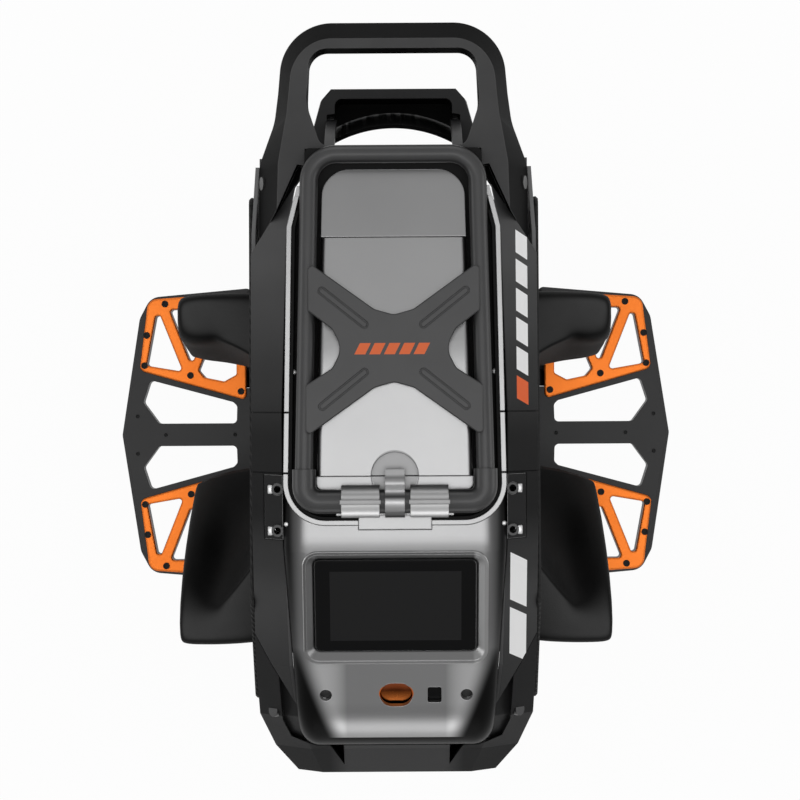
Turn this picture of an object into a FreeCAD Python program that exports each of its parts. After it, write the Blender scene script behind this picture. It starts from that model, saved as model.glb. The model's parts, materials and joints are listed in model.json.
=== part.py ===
import FreeCAD, Part
import math
import os

from FreeCAD import Vector

# Electric unicycle with a sprung wheel, folding pedals and a folding trolley handle, in mm.
# X runs across the machine, -Y is the front, Z is up; the tyre meets the ground at the origin.

# Clearances
fit = 0.05
gap = 0.4
hinge_gap = 0.3

# Wheel and hub motor
tyre_radius = 250
tyre_width = 85
tyre_wall = 8
tread_depth = 5
tread_slots = 30
bead_depth = 72
bead_inset = 5.5
flange_wall = 4
flange_height = 8
rotor_depth = 30
magnet_depth = 6
air_gap = 1
stator_depth = 34
stator_slots = 24
winding_room = 12
cover_wall = 5
cover_ribs = 9
cover_bolts = 9
journal_radius = 17
axle_radius = 12
bearing_radius = 30
bearing_width = 12
nut_width = 5.5

# Suspension
travel = 90
arch_gap = 8
arch_wall = 5
frame_plate = 4
stanchion_radius = 11
fork_radius = 15
fork_y = 48
fork_overlap = 98
fork_length = 208
seal_height = 6
yoke_half = 13
yoke_height = 26
crown_wall = 5

# Pedals
pedal_top = 190
pedal_thick = 18
pedal_length = 122.5
pedal_half = 131
pedal_tip_back = 16
hinge_reach = 20.5
pin_drop = 14
pin_radius = 5
knuckle_radius = 11
ear_y = 42
ear_wall = 14
hanger_plate = 10
grip_thick = 3
grip_sink = 2
screw_radius = 3

# Body shell
body_gap = 3.5
panel_wall = 3
shoulder_run = 28
tray_rise = 29
tray_floor = 4
seam_rear = 21.5
trim_width = 3.4
side_pad_thick = 3
leg_pad_span = 59

# Places along the machine, taken from the front and the rear of the tyre
bumper_ahead = 12
dash_behind = 22
dash_length = 150
display_ahead = 42
well_behind = 22
deck_ahead = 54
lid_length = 49.5
deck_fall = 86.5
tail_behind = 38.5
handle_behind = 66.5

# Dash, hinge and handles
dash_slope = 19.5
dash_wall = 3.5
nose_radius = 93
display_high = 71.5
button_turn = 32
button_wide = 23
button_high = 17.5
bar_radius = 8.5
tube_radius = 6.5
loop_tilt = 3
brace_thick = 3
handle_lean = 35.5
handle_bar = 30
insert_pitch = 30
insert_radius = 4.3
insert_bore = 2.5

# Wheel and widths that follow from the sizes above
bead_radius = tyre_radius - bead_depth
bead_half = tyre_width / 2 - bead_inset
rotor_radius = bead_radius - rotor_depth
rotor_half = bead_half - 1
magnet_radius = rotor_radius - magnet_depth
stator_radius = magnet_radius - air_gap
stator_half = rotor_half - winding_room
cover_radius = bead_radius - 12.5
arch_radius = tyre_radius + arch_gap
arch_out = arch_radius + arch_wall
frame_half = tyre_width / 2 + arch_gap
frame_out = frame_half + frame_plate
fork_x = frame_out + fork_radius + 2
crown_out = fork_x + fork_radius + crown_wall
yoke_out = fork_x + yoke_half
hanger_out = crown_out + hanger_plate
pin_x = hanger_out + hinge_reach
pedal_reach = pin_x + pedal_length
body_half = hanger_out + body_gap
panel_in = body_half - panel_wall
pad_out = body_half + side_pad_thick
leg_pad_reach = pad_out + leg_pad_span
well_half = body_half - shoulder_run
top_half = well_half + trim_width + gap
deck_half = well_half - 21
deck_rear_half = deck_half - 4
loop_half = well_half - 12.5
loop_rear_half = loop_half - 4.5
insert_x = body_half - 20
display_wide = 2 * well_half - 37

# Places along the machine that follow, front to rear
bumper_front = -tyre_radius - bumper_ahead
dash_front = dash_behind - tyre_radius
dash_bend = dash_front + dash_length
display_y = dash_bend - display_ahead
well_front = dash_bend + well_behind
insert_front = well_front - 8
insert_rear = insert_front + insert_pitch
hinge_y = well_front + 14
deck_front = well_front + 32
seam_front = well_front + 34
deck_rear = tyre_radius - deck_ahead
deck_lid_y = deck_rear - lid_length
deck_break = deck_lid_y - deck_fall
well_bend = deck_rear - 42
well_rear = deck_rear + 16
loop_rear = deck_rear + 10.5
tail_rear = tyre_radius + tail_behind
handle_rear = tyre_radius + handle_behind

# Levels that follow
axle_z = tyre_radius
bump_z = axle_z + travel
plate_low = bump_z + axle_radius + yoke_height
fork_low = axle_z + yoke_height + travel + seal_height
tray_z = bump_z + arch_out + tray_rise
tray_top = tray_z + tray_floor
dash_z = tray_z + 18
deck_z = tray_z + 28
hinge_z = deck_z + 4
panel_top = deck_z - 12
pin_z = pedal_top - pin_drop
pedal_low = pedal_top - pedal_thick
nose_y = dash_front + nose_radius
slope_tan = math.tan(math.radians(dash_slope))
nose_corner_z = dash_z - (dash_bend - dash_front) * slope_tan
nose_reach = nose_radius * math.tan(math.radians(45 - dash_slope / 2))
nose_z = nose_corner_z - nose_reach


def on_z(points, z):
    return [Vector(x, y, z) for x, y in points]


def on_y(points, y):
    return [Vector(x, y, z) for x, z in points]


def on_x(points, x):
    return [Vector(x, y, z) for y, z in points]


def path(points, radii=0, closed=True):
    # Wire through the points, each corner rounded as far as its edges allow.
    count = len(points)
    if not isinstance(radii, (list, tuple)):
        radii = [radii] * count
    corners = []
    for i, here in enumerate(points):
        inner = closed or 0 < i < count - 1
        if not inner or radii[i] <= 0:
            corners.append((here, None, here))
            continue
        back = points[i - 1] - here
        ahead = points[(i + 1) % count] - here
        room = 0.49 * min(back.Length, ahead.Length)
        back.normalize()
        ahead.normalize()
        half = back.getAngle(ahead) / 2
        reach = min(radii[i] / math.tan(half), room)
        radius = reach * math.tan(half)
        middle = back + ahead
        middle.normalize()
        crown = here + middle * (radius / math.sin(half) - radius)
        corners.append((here + back * reach, crown, here + ahead * reach))
    edges = []
    for i, (start, crown, end) in enumerate(corners):
        if crown:
            edges.append(Part.Arc(start, crown, end).toShape())
        if i < count - 1 or closed:
            edges.append(Part.makeLine(end, corners[(i + 1) % count][0]))
    return Part.Wire(edges)


def prism_x(points, x0, x1, radii=0):
    return Part.Face(path(on_x(points, x0), radii)).extrude(Vector(x1 - x0, 0, 0))


def prism_y(points, y0, y1, radii=0):
    return Part.Face(path(on_y(points, y0), radii)).extrude(Vector(0, y1 - y0, 0))


def prism_z(points, z0, z1, radii=0):
    return Part.Face(path(on_z(points, z0), radii)).extrude(Vector(0, 0, z1 - z0))


def box(x0, x1, y0, y1, z0, z1):
    return Part.makeBox(x1 - x0, y1 - y0, z1 - z0, Vector(x0, y0, z0))


def rod(start, end, radius):
    along = end - start
    return Part.makeCylinder(radius, along.Length, start, along)


def tube(start, end, radius, bore):
    return rod(start, end, radius).cut(rod(start, end, bore))


def turned(points, radii=0):
    # Ring about the wheel axis from a profile of (x, radius) points.
    face = Part.Face(path([Vector(x, 0, axle_z + r) for x, r in points], radii))
    return face.revolve(Vector(0, 0, axle_z), Vector(1, 0, 0), 360)


def mirror(shape):
    return shape.mirror(Vector(0, 0, 0), Vector(1, 0, 0))


def mirror_y(shape):
    return shape.mirror(Vector(0, 0, 0), Vector(0, 1, 0))


def group(shapes):
    return Part.makeCompound([s for shape in shapes for s in shape.Solids])


def both(shape):
    return group([shape, mirror(shape)])


def around(shape, count, start=0):
    # Copies of a shape spaced evenly round the wheel axis.
    copies = []
    for i in range(count):
        copy = shape.copy()
        copy.rotate(Vector(0, 0, axle_z), Vector(1, 0, 0), start + 360 * i / count)
        copies.append(copy)
    return copies


def leaned(shape, y, z, angle):
    # A shape built on the XY plane, leaned towards the front and moved to (y, z).
    shape = shape.copy()
    shape.rotate(Vector(0, 0, 0), Vector(1, 0, 0), angle)
    shape.translate(Vector(0, y, z))
    return shape


def tilted(shape):
    # The trolley handle is drawn level and then tilted down to the rear about its hinge.
    shape = shape.copy()
    shape.rotate(Vector(0, hinge_y, hinge_z), Vector(1, 0, 0), -loop_tilt)
    return shape


def sweep(points, radii, radius):
    spine = path(points, radii, False)
    start = points[0]
    ring = Part.Wire(Part.makeCircle(radius, start, points[1] - start))
    return spine.makePipeShell([ring], True, False)


def plan_sides(half_points):
    # A left-right symmetric outline from its right half, front to rear.
    return half_points + [(-x, y) for x, y in reversed(half_points)]


nodes = {}

# Tyre: hollow carcass with a ribbed crown and shoulder slots
side = tyre_width / 2
shoulder = tyre_radius - 14
inside = tyre_radius - tyre_wall - tread_depth
outer = [(side * 0.4, tyre_radius), (side - 1, shoulder), (side, shoulder - 32)]
outer += [(bead_half, bead_radius + flange_height), (bead_half, bead_radius)]
lining = [(bead_half - 7, bead_radius), (bead_half - 7, bead_radius + flange_height)]
lining += [(side - tyre_wall, shoulder - 32), (side - tyre_wall, shoulder - 8), (side * 0.3, inside)]
ring = outer + lining + [(-x, r) for x, r in reversed(outer + lining)]
tyre = turned(ring, [45, 16, 25, 6, 0.6, 0.6, 6, 20, 10, 8, 8, 10, 20, 6, 0.6, 0.6, 6, 25, 16, 45])
rib = [(-2.5, tyre_radius - tread_depth), (2.5, tyre_radius - tread_depth)]
rib += [(2.5, tyre_radius + 1), (-2.5, tyre_radius + 1)]
grooves = [turned([(x + offset, r) for x, r in rib]) for offset in (-side * 0.38, 0, side * 0.38)]
slot = box(side * 0.44, side + 2, -4, 4, axle_z + tyre_radius - 2 * tread_depth, axle_z + tyre_radius + 2)
slots = around(slot, tread_slots) + around(mirror(slot), tread_slots, 180 / tread_slots)
nodes["tyre"] = tyre.cut(grooves).cut(slots)

# Rim with the rotor ring of the motor inside it
flange = bead_half + flange_wall
rim_half = [(rotor_half, rotor_radius), (rotor_half, cover_radius + gap), (flange, cover_radius + gap)]
rim_half += [(flange, bead_radius + flange_height), (bead_half + fit, bead_radius + flange_height)]
rim_half += [(bead_half + fit, bead_radius), (bead_half - 9, bead_radius), (bead_half - 15, bead_radius - 8)]
nodes["rim"] = turned(rim_half + [(-x, r) for x, r in reversed(rim_half)])
nodes["magnet_ring"] = turned([(-stator_half - 2, magnet_radius), (stator_half + 2, magnet_radius),
                               (stator_half + 2, rotor_radius - fit), (-stator_half - 2, rotor_radius - fit)])
valve_r = (cover_radius + bead_radius) / 2
valve = rod(Vector(flange, 0, axle_z + valve_r), Vector(flange + 4, 0, axle_z + valve_r), 3)
nodes["valve_stem"] = valve.fuse(rod(Vector(flange + 4, 0, axle_z + valve_r),
                                     Vector(flange + 7, 0, axle_z + valve_r), 3.8))

# Motor covers with radial ribs and bearing seats
cover_out = rotor_half + cover_wall
seat = bearing_radius + fit
profile = [(cover_out - bearing_width, seat), (cover_out - bearing_width, seat + 9), (rotor_half, seat + 16)]
profile += [(rotor_half, cover_radius), (cover_out, cover_radius), (cover_out, seat + 16)]
profile += [(cover_out + 2, seat + 9), (cover_out + 2, seat)]
cover = turned(profile)
rib = box(cover_out - 1, cover_out + 2, -2.5, 2.5, axle_z + seat + 6, axle_z + rotor_radius - 4)
cover = cover.fuse(around(rib, cover_ribs))
nodes["motor_covers"] = both(cover)
bolt_r = (rotor_radius + cover_radius) / 2
bolt = rod(Vector(cover_out, 0, axle_z + bolt_r), Vector(cover_out + 2.5, 0, axle_z + bolt_r), 4)
bolts = group(around(bolt, cover_bolts, 180 / cover_bolts))
nodes["cover_bolts"] = both(bolts)
bearing = turned([(cover_out - bearing_width, journal_radius + fit), (cover_out, journal_radius + fit),
                  (cover_out, bearing_radius), (cover_out - bearing_width, bearing_radius)], 1)
nodes["axle_bearings"] = both(bearing)

# Axle and the fixed half of the motor
journal_half = cover_out + 4
axle_half = yoke_out + nut_width
profile = [(-axle_half, 0), (axle_half, 0), (axle_half, axle_radius - 1), (axle_half - 1, axle_radius)]
profile += [(journal_half, axle_radius), (journal_half, journal_radius), (-journal_half, journal_radius)]
profile += [(-journal_half, axle_radius), (1 - axle_half, axle_radius), (-axle_half, axle_radius - 1)]
nodes["axle"] = turned(profile)
stator_in = stator_radius - stator_depth
stator = turned([(-stator_half, stator_in), (stator_half, stator_in),
                 (stator_half, stator_radius), (-stator_half, stator_radius)])
slot = box(-stator_half - 1, stator_half + 1, -5, 5, axle_z + stator_in + 9, axle_z + stator_radius + 2)
stator = stator.cut(around(slot, stator_slots))
winding = turned([(stator_half + fit, stator_in + 9), (rotor_half - 4, stator_in + 9),
                  (rotor_half - 4, stator_radius - 6), (stator_half + fit, stator_radius - 6)], 2)
nodes["stator_windings"] = both(winding)
carrier_in = journal_radius + fit
carrier = turned([(-8, carrier_in), (8, carrier_in), (8, stator_in + 2), (-8, stator_in + 2)])
hole_r = (journal_radius + stator_in) / 2
hole = rod(Vector(-9, 0, axle_z + hole_r), Vector(9, 0, axle_z + hole_r), 21)
nodes["stator"] = stator.fuse(carrier.cut(around(hole, 6))).removeSplitter()

# Axle yokes, stanchions and nuts
yoke_end = fork_y + stanchion_radius + 5
waist = axle_radius + 15
points = [(-yoke_end, axle_z - 8), (-waist, axle_z - yoke_height), (waist, axle_z - yoke_height)]
points += [(yoke_end, axle_z - 8), (yoke_end, axle_z + yoke_height), (-yoke_end, axle_z + yoke_height)]
yoke = prism_x(points, fork_x - yoke_half, yoke_out, [8, 14, 14, 8, 5, 5])
yoke = yoke.cut(rod(Vector(0, 0, axle_z), Vector(yoke_out + 1, 0, axle_z), axle_radius + fit))
stanchion_top = fork_low + fork_overlap
posts = []
for y in (-fork_y, fork_y):
    foot = Vector(fork_x, y, axle_z)
    posts.append(rod(foot, Vector(fork_x, y, stanchion_top), stanchion_radius))
    yoke = yoke.cut(rod(foot, Vector(fork_x, y, axle_z + 60), stanchion_radius + fit))
nodes["axle_yokes"] = both(yoke)
nodes["stanchions"] = both(group(posts))
hexagon = [(1.5 * axle_radius * math.cos(math.radians(60 * i)),
            axle_z + 1.5 * axle_radius * math.sin(math.radians(60 * i))) for i in range(6)]
nut = prism_x(hexagon, yoke_out, axle_half - 0.5)
nut = nut.cut(rod(Vector(yoke_out - 1, 0, axle_z), Vector(axle_half, 0, axle_z), axle_radius + fit))
nodes["axle_nuts"] = both(nut)

# Fork tubes with closed tops and wiper seals
tubes, seals = [], []
fork_top = fork_low + fork_length
for y in (-fork_y, fork_y):
    low = Vector(fork_x, y, fork_low)
    top = Vector(fork_x, y, fork_top)
    bore_top = Vector(fork_x, y, fork_top - 10)
    cap = rod(top, top + Vector(0, 0, 7), fork_radius - 1)
    cap = cap.cut(rod(top + Vector(0, 0, 3), top + Vector(0, 0, 8), fork_radius - 7))
    tubes.append(rod(low, top, fork_radius).cut(rod(low, bore_top, stanchion_radius + hinge_gap)).fuse(cap))
    seals.append(tube(low - Vector(0, 0, seal_height), low, fork_radius, stanchion_radius + fit))
nodes["fork_tubes"] = both(group(tubes))
nodes["fork_seals"] = both(group(seals))

# Main frame: two plates joined by the wheel arch, with crowns that hold the fork tubes
arch_z0 = plate_low - 34
arch_disc = rod(Vector(-frame_out, 0, bump_z), Vector(frame_out, 0, bump_z), arch_out)
upper = [(dash_front + 50, bump_z + 150), (dash_front + 62, nose_corner_z - 20), (dash_bend, tray_z)]
upper += [(deck_rear, tray_z), (deck_rear + 8, bump_z + 150)]
plates = arch_disc.fuse(prism_x(upper, -frame_out, frame_out))
plates = plates.cut(box(-frame_half, frame_half, -400, 400, arch_z0, tray_z + 1))
strip = rod(Vector(-frame_half, 0, bump_z), Vector(frame_half, 0, bump_z), arch_out)
strip = strip.cut(rod(Vector(-frame_half, 0, bump_z), Vector(frame_half, 0, bump_z), arch_radius))
frame = plates.fuse(strip)
frame = frame.cut(box(-frame_out - 1, frame_out + 1, -400, 400, 0, arch_z0))
plate_half = tyre_radius - 45
frame = frame.cut(box(-frame_out - 1, frame_out + 1, -plate_half, plate_half, 0, plate_low))
arch_end = deck_rear + 26
frame = frame.cut(box(4 - frame_half, frame_half - 4, arch_end, 400, 0, plate_low + 97))
hole_y = tyre_radius * 0.52
hole_z = bump_z + hole_y
for y, radius in ((-hole_y, 26), (0, 30), (hole_y, 26)):
    frame = frame.cut(rod(Vector(-frame_out - 1, y, hole_z), Vector(frame_out + 1, y, hole_z), radius))
crown_half = fork_y + fork_radius + crown_wall
crown_points = [(frame_out, -crown_half), (crown_out, -crown_half)]
crown_points += [(crown_out, crown_half), (frame_out, crown_half)]
low_crown = prism_z(crown_points, plate_low + 2, plate_low + 62, [0, 8, 8, 0])
top_crown = prism_z(crown_points, fork_top - 24, fork_top - 2, [0, 8, 8, 0])
crowns = low_crown.fuse(top_crown)
crowns = crowns.cut(box(fork_x - 8, crown_out - 5, -22, 22, 0, 900))
for y in (-fork_y, fork_y):
    crowns = crowns.cut(rod(Vector(fork_x, y, 0), Vector(fork_x, y, 900), fork_radius + fit))
nodes["main_frame"] = frame.fuse([crowns, mirror(crowns)]).removeSplitter()

# Pedal hangers with hinge ears, axle window and stop ledges
hanger_top = plate_low + 62
ear_end = ear_y + ear_wall
points = [(-crown_half + 4, hanger_top), (-ear_end - 4, pin_z - knuckle_radius)]
points += [(ear_end + 4, pin_z - knuckle_radius), (crown_half - 4, hanger_top)]
hanger = prism_x(points, crown_out, hanger_out, [8, 10, 10, 8])
window = [(-22, axle_z - 22), (22, axle_z - 22), (22, bump_z + 22), (-22, bump_z + 22)]
hanger = hanger.cut(prism_x(window, crown_out - 1, hanger_out + 1, 21))
ear_out = pin_x + knuckle_radius
ear_low = pin_z - knuckle_radius
ear_top = pin_z + knuckle_radius
points = [(hanger_out - 1, ear_top), (hanger_out - 1, ear_low), (ear_out, ear_low), (ear_out, ear_top)]
ear = prism_y(points, ear_y, ear_end, [0, 0, knuckle_radius - 1, knuckle_radius - 1])
ledge = box(hanger_out - 1, pin_x + 14, ear_end - 1, ear_end + 12, pedal_low - gap - 8, pedal_low - gap)
hanger = hanger.fuse([ear, mirror_y(ear), ledge, mirror_y(ledge)])
pin_start = Vector(pin_x, -ear_end - 1.5, pin_z)
pin_end = Vector(pin_x, ear_end + 1.5, pin_z)
head_room = rod(pin_end - Vector(0, 1.5, 0), pin_end + Vector(0, gap, 0), pin_radius + 2.5 + gap)
hanger = hanger.cut([rod(pin_start, pin_end, pin_radius + fit), head_room, mirror_y(head_room)])
hanger = hanger.removeSplitter()
nodes["pedal_hangers"] = both(hanger)
head = rod(pin_end - Vector(0, 1.5, 0), pin_end, pin_radius + 2.5)
tail = rod(pin_start, pin_start + Vector(0, 1.5, 0), pin_radius + 2.5)
nodes["pedal_pins"] = both(rod(pin_start, pin_end, pin_radius).fuse([head, tail]))

# Pedals: wing-shaped plates with a truss of windows, two grip plates each and a hinge knuckle
corner_x = pedal_reach - pedal_tip_back
pedal_in = pin_x + 6
points = [(pedal_in, -pedal_half), (corner_x - 10, 8 - pedal_half), (corner_x, 27 - pedal_half)]
points += [(pedal_reach, 0)]
points += [(corner_x, pedal_half - 27), (corner_x - 10, pedal_half - 8), (pedal_in, pedal_half)]
pedal = prism_z(points, pedal_low, pedal_top, [5, 14, 14, 8, 14, 14, 5])
rim_edges = []
for edge in pedal.Edges:
    middle = edge.CenterOfMass
    if abs(middle.z - pedal_top) < 0.1 and middle.x > pedal_in + 1:
        rim_edges.append(edge)
pedal = pedal.makeChamfer(3, rim_edges)
inner_edge = pedal_in + 5
grip = [(inner_edge, 30.5), (corner_x, 57.5), (corner_x - 8, pedal_half - 10), (inner_edge, pedal_half - 4)]
span = corner_x - inner_edge


def along_grip(share):
    return inner_edge + span * share


window_near = [(along_grip(0.9), 49), (pedal_in + 17, 29), (pedal_in + 13.5, 25.5), (pedal_in + 14, 10)]
window_near += [(along_grip(0.822), 10), (along_grip(0.968), 29)]
windows = [[(along_grip(0.832), pedal_half - 18), (along_grip(0.597), 56.5), (along_grip(0.932), 62)],
           [(along_grip(0.717), pedal_half - 19), (along_grip(0.513), 62),
            (along_grip(0.309), pedal_half - 19)],
           [(along_grip(0.445), 57.5), (along_grip(0.387), 51), (along_grip(0.21), 47.5),
            (along_grip(0.094), 53.5), (along_grip(0.094), pedal_half - 19),
            (along_grip(0.21), pedal_half - 19)]]
grip_plate = prism_z(grip, pedal_top - grip_sink, pedal_top - grip_sink + grip_thick, [4, 6, 9, 4])
pocket = prism_z(grip, pedal_top - grip_sink, pedal_top + 5, [4, 6, 9, 4])
cuts = [prism_z(window_near, pedal_low - 1, pedal_top + 1, 4), pocket]
for points in windows:
    hole = prism_z(points, pedal_low - 1, pedal_top + 5, 2.5)
    grip_plate = grip_plate.cut(hole)
    cuts.append(hole)
plate_top = pedal_top - grip_sink + grip_thick
grip_edges = [e for e in grip_plate.Edges if abs(e.CenterOfMass.z - plate_top) < 0.1]
grip_plate = grip_plate.makeChamfer(0.8, grip_edges)
pedal = pedal.cut(cuts + [mirror_y(c) for c in cuts])
knuckle_in = pin_x - knuckle_radius
knuckle_low = pin_z - knuckle_radius + 4
points = [(knuckle_in, knuckle_low), (pedal_in + 8, knuckle_low)]
points += [(pedal_in + 8, pedal_top), (knuckle_in, pedal_top)]
knuckle = prism_y(points, gap - ear_y, ear_y - gap, [7, 0, 0, 7])
ear_room = box(pin_x - 20, pin_x + knuckle_radius + 1, ear_y - gap, ear_end + 4, 0, 400)
pedal = pedal.cut([ear_room, mirror_y(ear_room)]).fuse(knuckle.cut([pocket, mirror_y(pocket)]))
pedal = pedal.cut(rod(pin_start, pin_end, pin_radius + fit)).removeSplitter()
nodes["pedal_right"] = pedal
nodes["pedal_left"] = mirror(pedal)
plates = group([grip_plate, mirror_y(grip_plate)])
nodes["grip_plates_right"] = plates
nodes["grip_plates_left"] = mirror(plates)
screw_places = [(along_grip(0.759), pedal_half - 14), (corner_x - 6.5, 89), (corner_x - 4.5, 62)]
screw_places += [(along_grip(0.524), 53), (inner_edge + 5, 38.5)]
screws = []
for x, y in screw_places:
    screw = rod(Vector(x, y, plate_top), Vector(x, y, plate_top + 1.2), screw_radius)
    screw = screw.cut(rod(Vector(x, y, plate_top + 0.5), Vector(x, y, plate_top + 2), screw_radius - 1.4))
    screws += [screw, mirror_y(screw)]
screws = group(screws)
nodes["pedal_screws_right"] = screws
nodes["pedal_screws_left"] = mirror(screws)


# Outer envelope of the body: crossways sections joined by straight facets
def envelope(inset):
    rows = [(bumper_front + inset, body_half - 47, bump_z + 130, body_half - 27, bump_z + 112),
            (bumper_front + 22, body_half - 39, bump_z + 157, body_half - 10, bump_z + 130),
            (dash_front + 20, top_half - 6, panel_top - 86, body_half - 1, panel_top - 118),
            (display_y - 45, top_half - 2.5, panel_top - 48, body_half, panel_top - 82),
            (well_front - 1, top_half, panel_top - 8, body_half, panel_top - 44),
            (seam_rear, top_half, panel_top, body_half, panel_top - 42),
            (well_bend, top_half - 4, panel_top - 8, body_half, panel_top - 48),
            (deck_rear + 9, top_half - 13, panel_top - 26, body_half - 3, panel_top - 62)]
    wires = []
    for y, top_x, top_z, side_x, side_z in rows:
        lean = math.hypot(side_x - top_x, top_z - side_z)
        run = (side_x - top_x) / lean
        fall = (top_z - side_z) / lean
        top_x_in = top_x - inset * (1 - run) / fall
        side_z_in = side_z - inset * (1 - fall) / run
        right = [(side_x - inset, plate_low - 70), (side_x - inset, side_z_in), (top_x_in, top_z - inset)]
        left = [(-x, z) for x, z in reversed(right)]
        wires.append(path(on_y(right + left, y)))
    return Part.makeLoft(wires, True, True)


body = envelope(0)
shell = body.cut(envelope(panel_wall))

# Outline of the well round the deck, in plan
rear_half = well_half - 13
well_neck = well_bend + 36
well = plan_sides([(well_half, well_front), (well_half - 4, well_bend),
                   (rear_half, well_neck), (rear_half, well_rear)])
well_radii = [27, 0, 0, 4, 4, 0, 0, 27]
well_wire = path(on_z(well, 0), well_radii)


def well_prism(grow, z0, z1):
    wire = well_wire.makeOffset2D(grow, 2) if grow else well_wire.copy()
    wire.translate(Vector(0, 0, z0))
    return Part.Face(wire).extrude(Vector(0, 0, z1 - z0))


# Seams where the carry handle and the bumper take over from the side panels
def rear_zone(back):
    front = well_rear + back
    low = panel_top - 66 + back
    near = body_half - 65
    far = body_half + 25
    plan = prism_z([(near, front + 17), (far, front - 109), (far, 400), (near, 400)], 0, 900)
    start = deck_rear - 96
    side_view = [(start, low + 16), (deck_rear + 14, low), (400, low), (400, 900), (start, 900)]
    return plan.common(prism_x(side_view, 0, 150))


def front_zone(back):
    rear = dash_front - back
    low = panel_top - 76 + back
    near = body_half - 65
    far = body_half + 25
    plan = prism_z([(near, rear - 28), (far, rear + 128), (far, -400), (near, -400)], 0, 900)
    start = dash_front + 128
    return plan.common(prism_x([(start, low), (dash_front + 22, low - 44), (dash_front + 22, 0),
                                (-400, 0), (-400, 900), (start, 900)], 0, 150))


# Side panels: shoulder and wall in one shell, cut to the well, the dash and the seams
dash_half = top_half - gap
dash_nose_half = dash_half - 9
outside = prism_z([(top_half, well_front - 20), (top_half, seam_rear), (top_half - 4, well_bend),
                   (rear_half + 6, well_neck), (rear_half + 6, 400), (200, 400), (200, -400),
                   (dash_nose_half + gap, -400), (dash_nose_half + gap, dash_front)], 0, 900)
below = [(-400, 0), (400, 0), (400, plate_low + 60), (deck_rear + 7, plate_low + 50)]
below += [(deck_rear - 46, plate_low - 60), (dash_front + 78, plate_low - 60)]
below += [(dash_front + 22, plate_low + 40), (-400, plate_low + 60)]
panel = shell.common(outside).cut([prism_x(below, 0, 200), rear_zone(0), front_zone(0)])
panel = panel.common(box(0, 200, dash_front + 22 + gap, deck_rear + 7, 0, 900))
skin = body.cut(envelope(1))
for y in (seam_rear, seam_front):
    panel = panel.cut(box(0, 200, y - 0.5, y + 0.5, panel_top - 50, 900).common(skin))
insert_z = panel_top - 14
plate_out = insert_x + 10
plate_front = insert_front - 6.5
plate_rear = insert_rear + 10.5
accessory = panel.common(box(top_half - 1, plate_out, plate_front, plate_rear, 0, 900))
panel = panel.cut(box(0, plate_out + gap, plate_front - gap, plate_rear + gap, panel_top - 60, 900))
inserts = []
for y in (insert_front, insert_rear):
    foot = Vector(insert_x, y, insert_z - 10)
    accessory = accessory.cut(rod(Vector(insert_x, y, 0), Vector(insert_x, y, 900), insert_radius + fit))
    inserts.append(tube(foot, Vector(insert_x, y, insert_z + 1), insert_radius, insert_bore))
nodes["side_panel_right"] = panel
nodes["side_panel_left"] = mirror(panel)
nodes["accessory_plates"] = both(accessory)
nodes["accessory_inserts"] = both(group(inserts))

# Textured pads on the side walls
points = [(dash_front + 30, plate_low + 48), (dash_front + 78, plate_low - 40)]
points += [(deck_rear - 56, plate_low - 40), (deck_rear - 14, plate_low + 48)]
points += [(deck_rear - 14, panel_top - 76), (dash_front + 108, panel_top - 64)]
points += [(dash_front + 30, panel_top - 128)]
side_pad = prism_x(points, body_half, pad_out, [12, 18, 18, 12, 8, 8, 12])
pad_edges = [e for e in side_pad.Edges if abs(e.CenterOfMass.x - pad_out) < 0.1]
side_pad = side_pad.makeChamfer(1.5, pad_edges)
nodes["side_pads"] = both(side_pad)


# Leg pads: foam wings lofted from a wide root on the side pad to a rounded tip
def wing(root, tip, radii):
    span = leg_pad_reach - pad_out
    wires = []
    for share, blend, shrink in ((0, 0, 0), (0.35, 0.72, 0), (0.85, 1, 0), (1, 1, 6)):
        points = [(a[0] + (b[0] - a[0]) * blend, a[1] + (b[1] - a[1]) * blend) for a, b in zip(root, tip)]
        mid_y = sum(p[0] for p in points) / len(points)
        mid_z = sum(p[1] for p in points) / len(points)
        inner = []
        for y, z in points:
            away = math.hypot(y - mid_y, z - mid_z)
            inner.append((y - (y - mid_y) * shrink / away, z - (z - mid_z) * shrink / away))
        wires.append(path(on_x(inner, pad_out + span * share), radii))
    return Part.makeLoft(wires, True, False)


pad_low = plate_low - 44
pad_top = pad_low + 174
front = dash_front + 75
front_root = [(front + 125, pad_low), (front + 49, pad_top - 2), (front, pad_top), (front - 9, pad_top - 22)]
front_root += [(front + 61, pad_low)]
front_tip = [(front + 113, pad_low), (front + 26, pad_top - 16), (front, pad_top - 5)]
front_tip += [(front - 6, pad_top - 24), (front + 71, pad_low)]
rear_low = pad_low + 38
rear_top = rear_low + 134
rear = deck_rear - 78
rear_root = [(rear - 64, rear_low), (rear - 26, rear_low), (rear, rear_top - 22), (rear - 8, rear_top)]
rear_root += [(rear - 50, rear_top - 4)]
rear_tip = [(rear - 58, rear_low), (rear - 30, rear_low), (rear - 4, rear_top - 22)]
rear_tip += [(rear - 10, rear_top - 4), (rear - 30, rear_top - 10)]
front_pad = wing(front_root, front_tip, [8, 12, 10, 10, 8])
rear_pad = wing(rear_root, rear_tip, [8, 8, 8, 8, 10])
nodes["front_leg_pads"] = both(front_pad)
nodes["rear_leg_pads"] = both(rear_pad)


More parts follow.
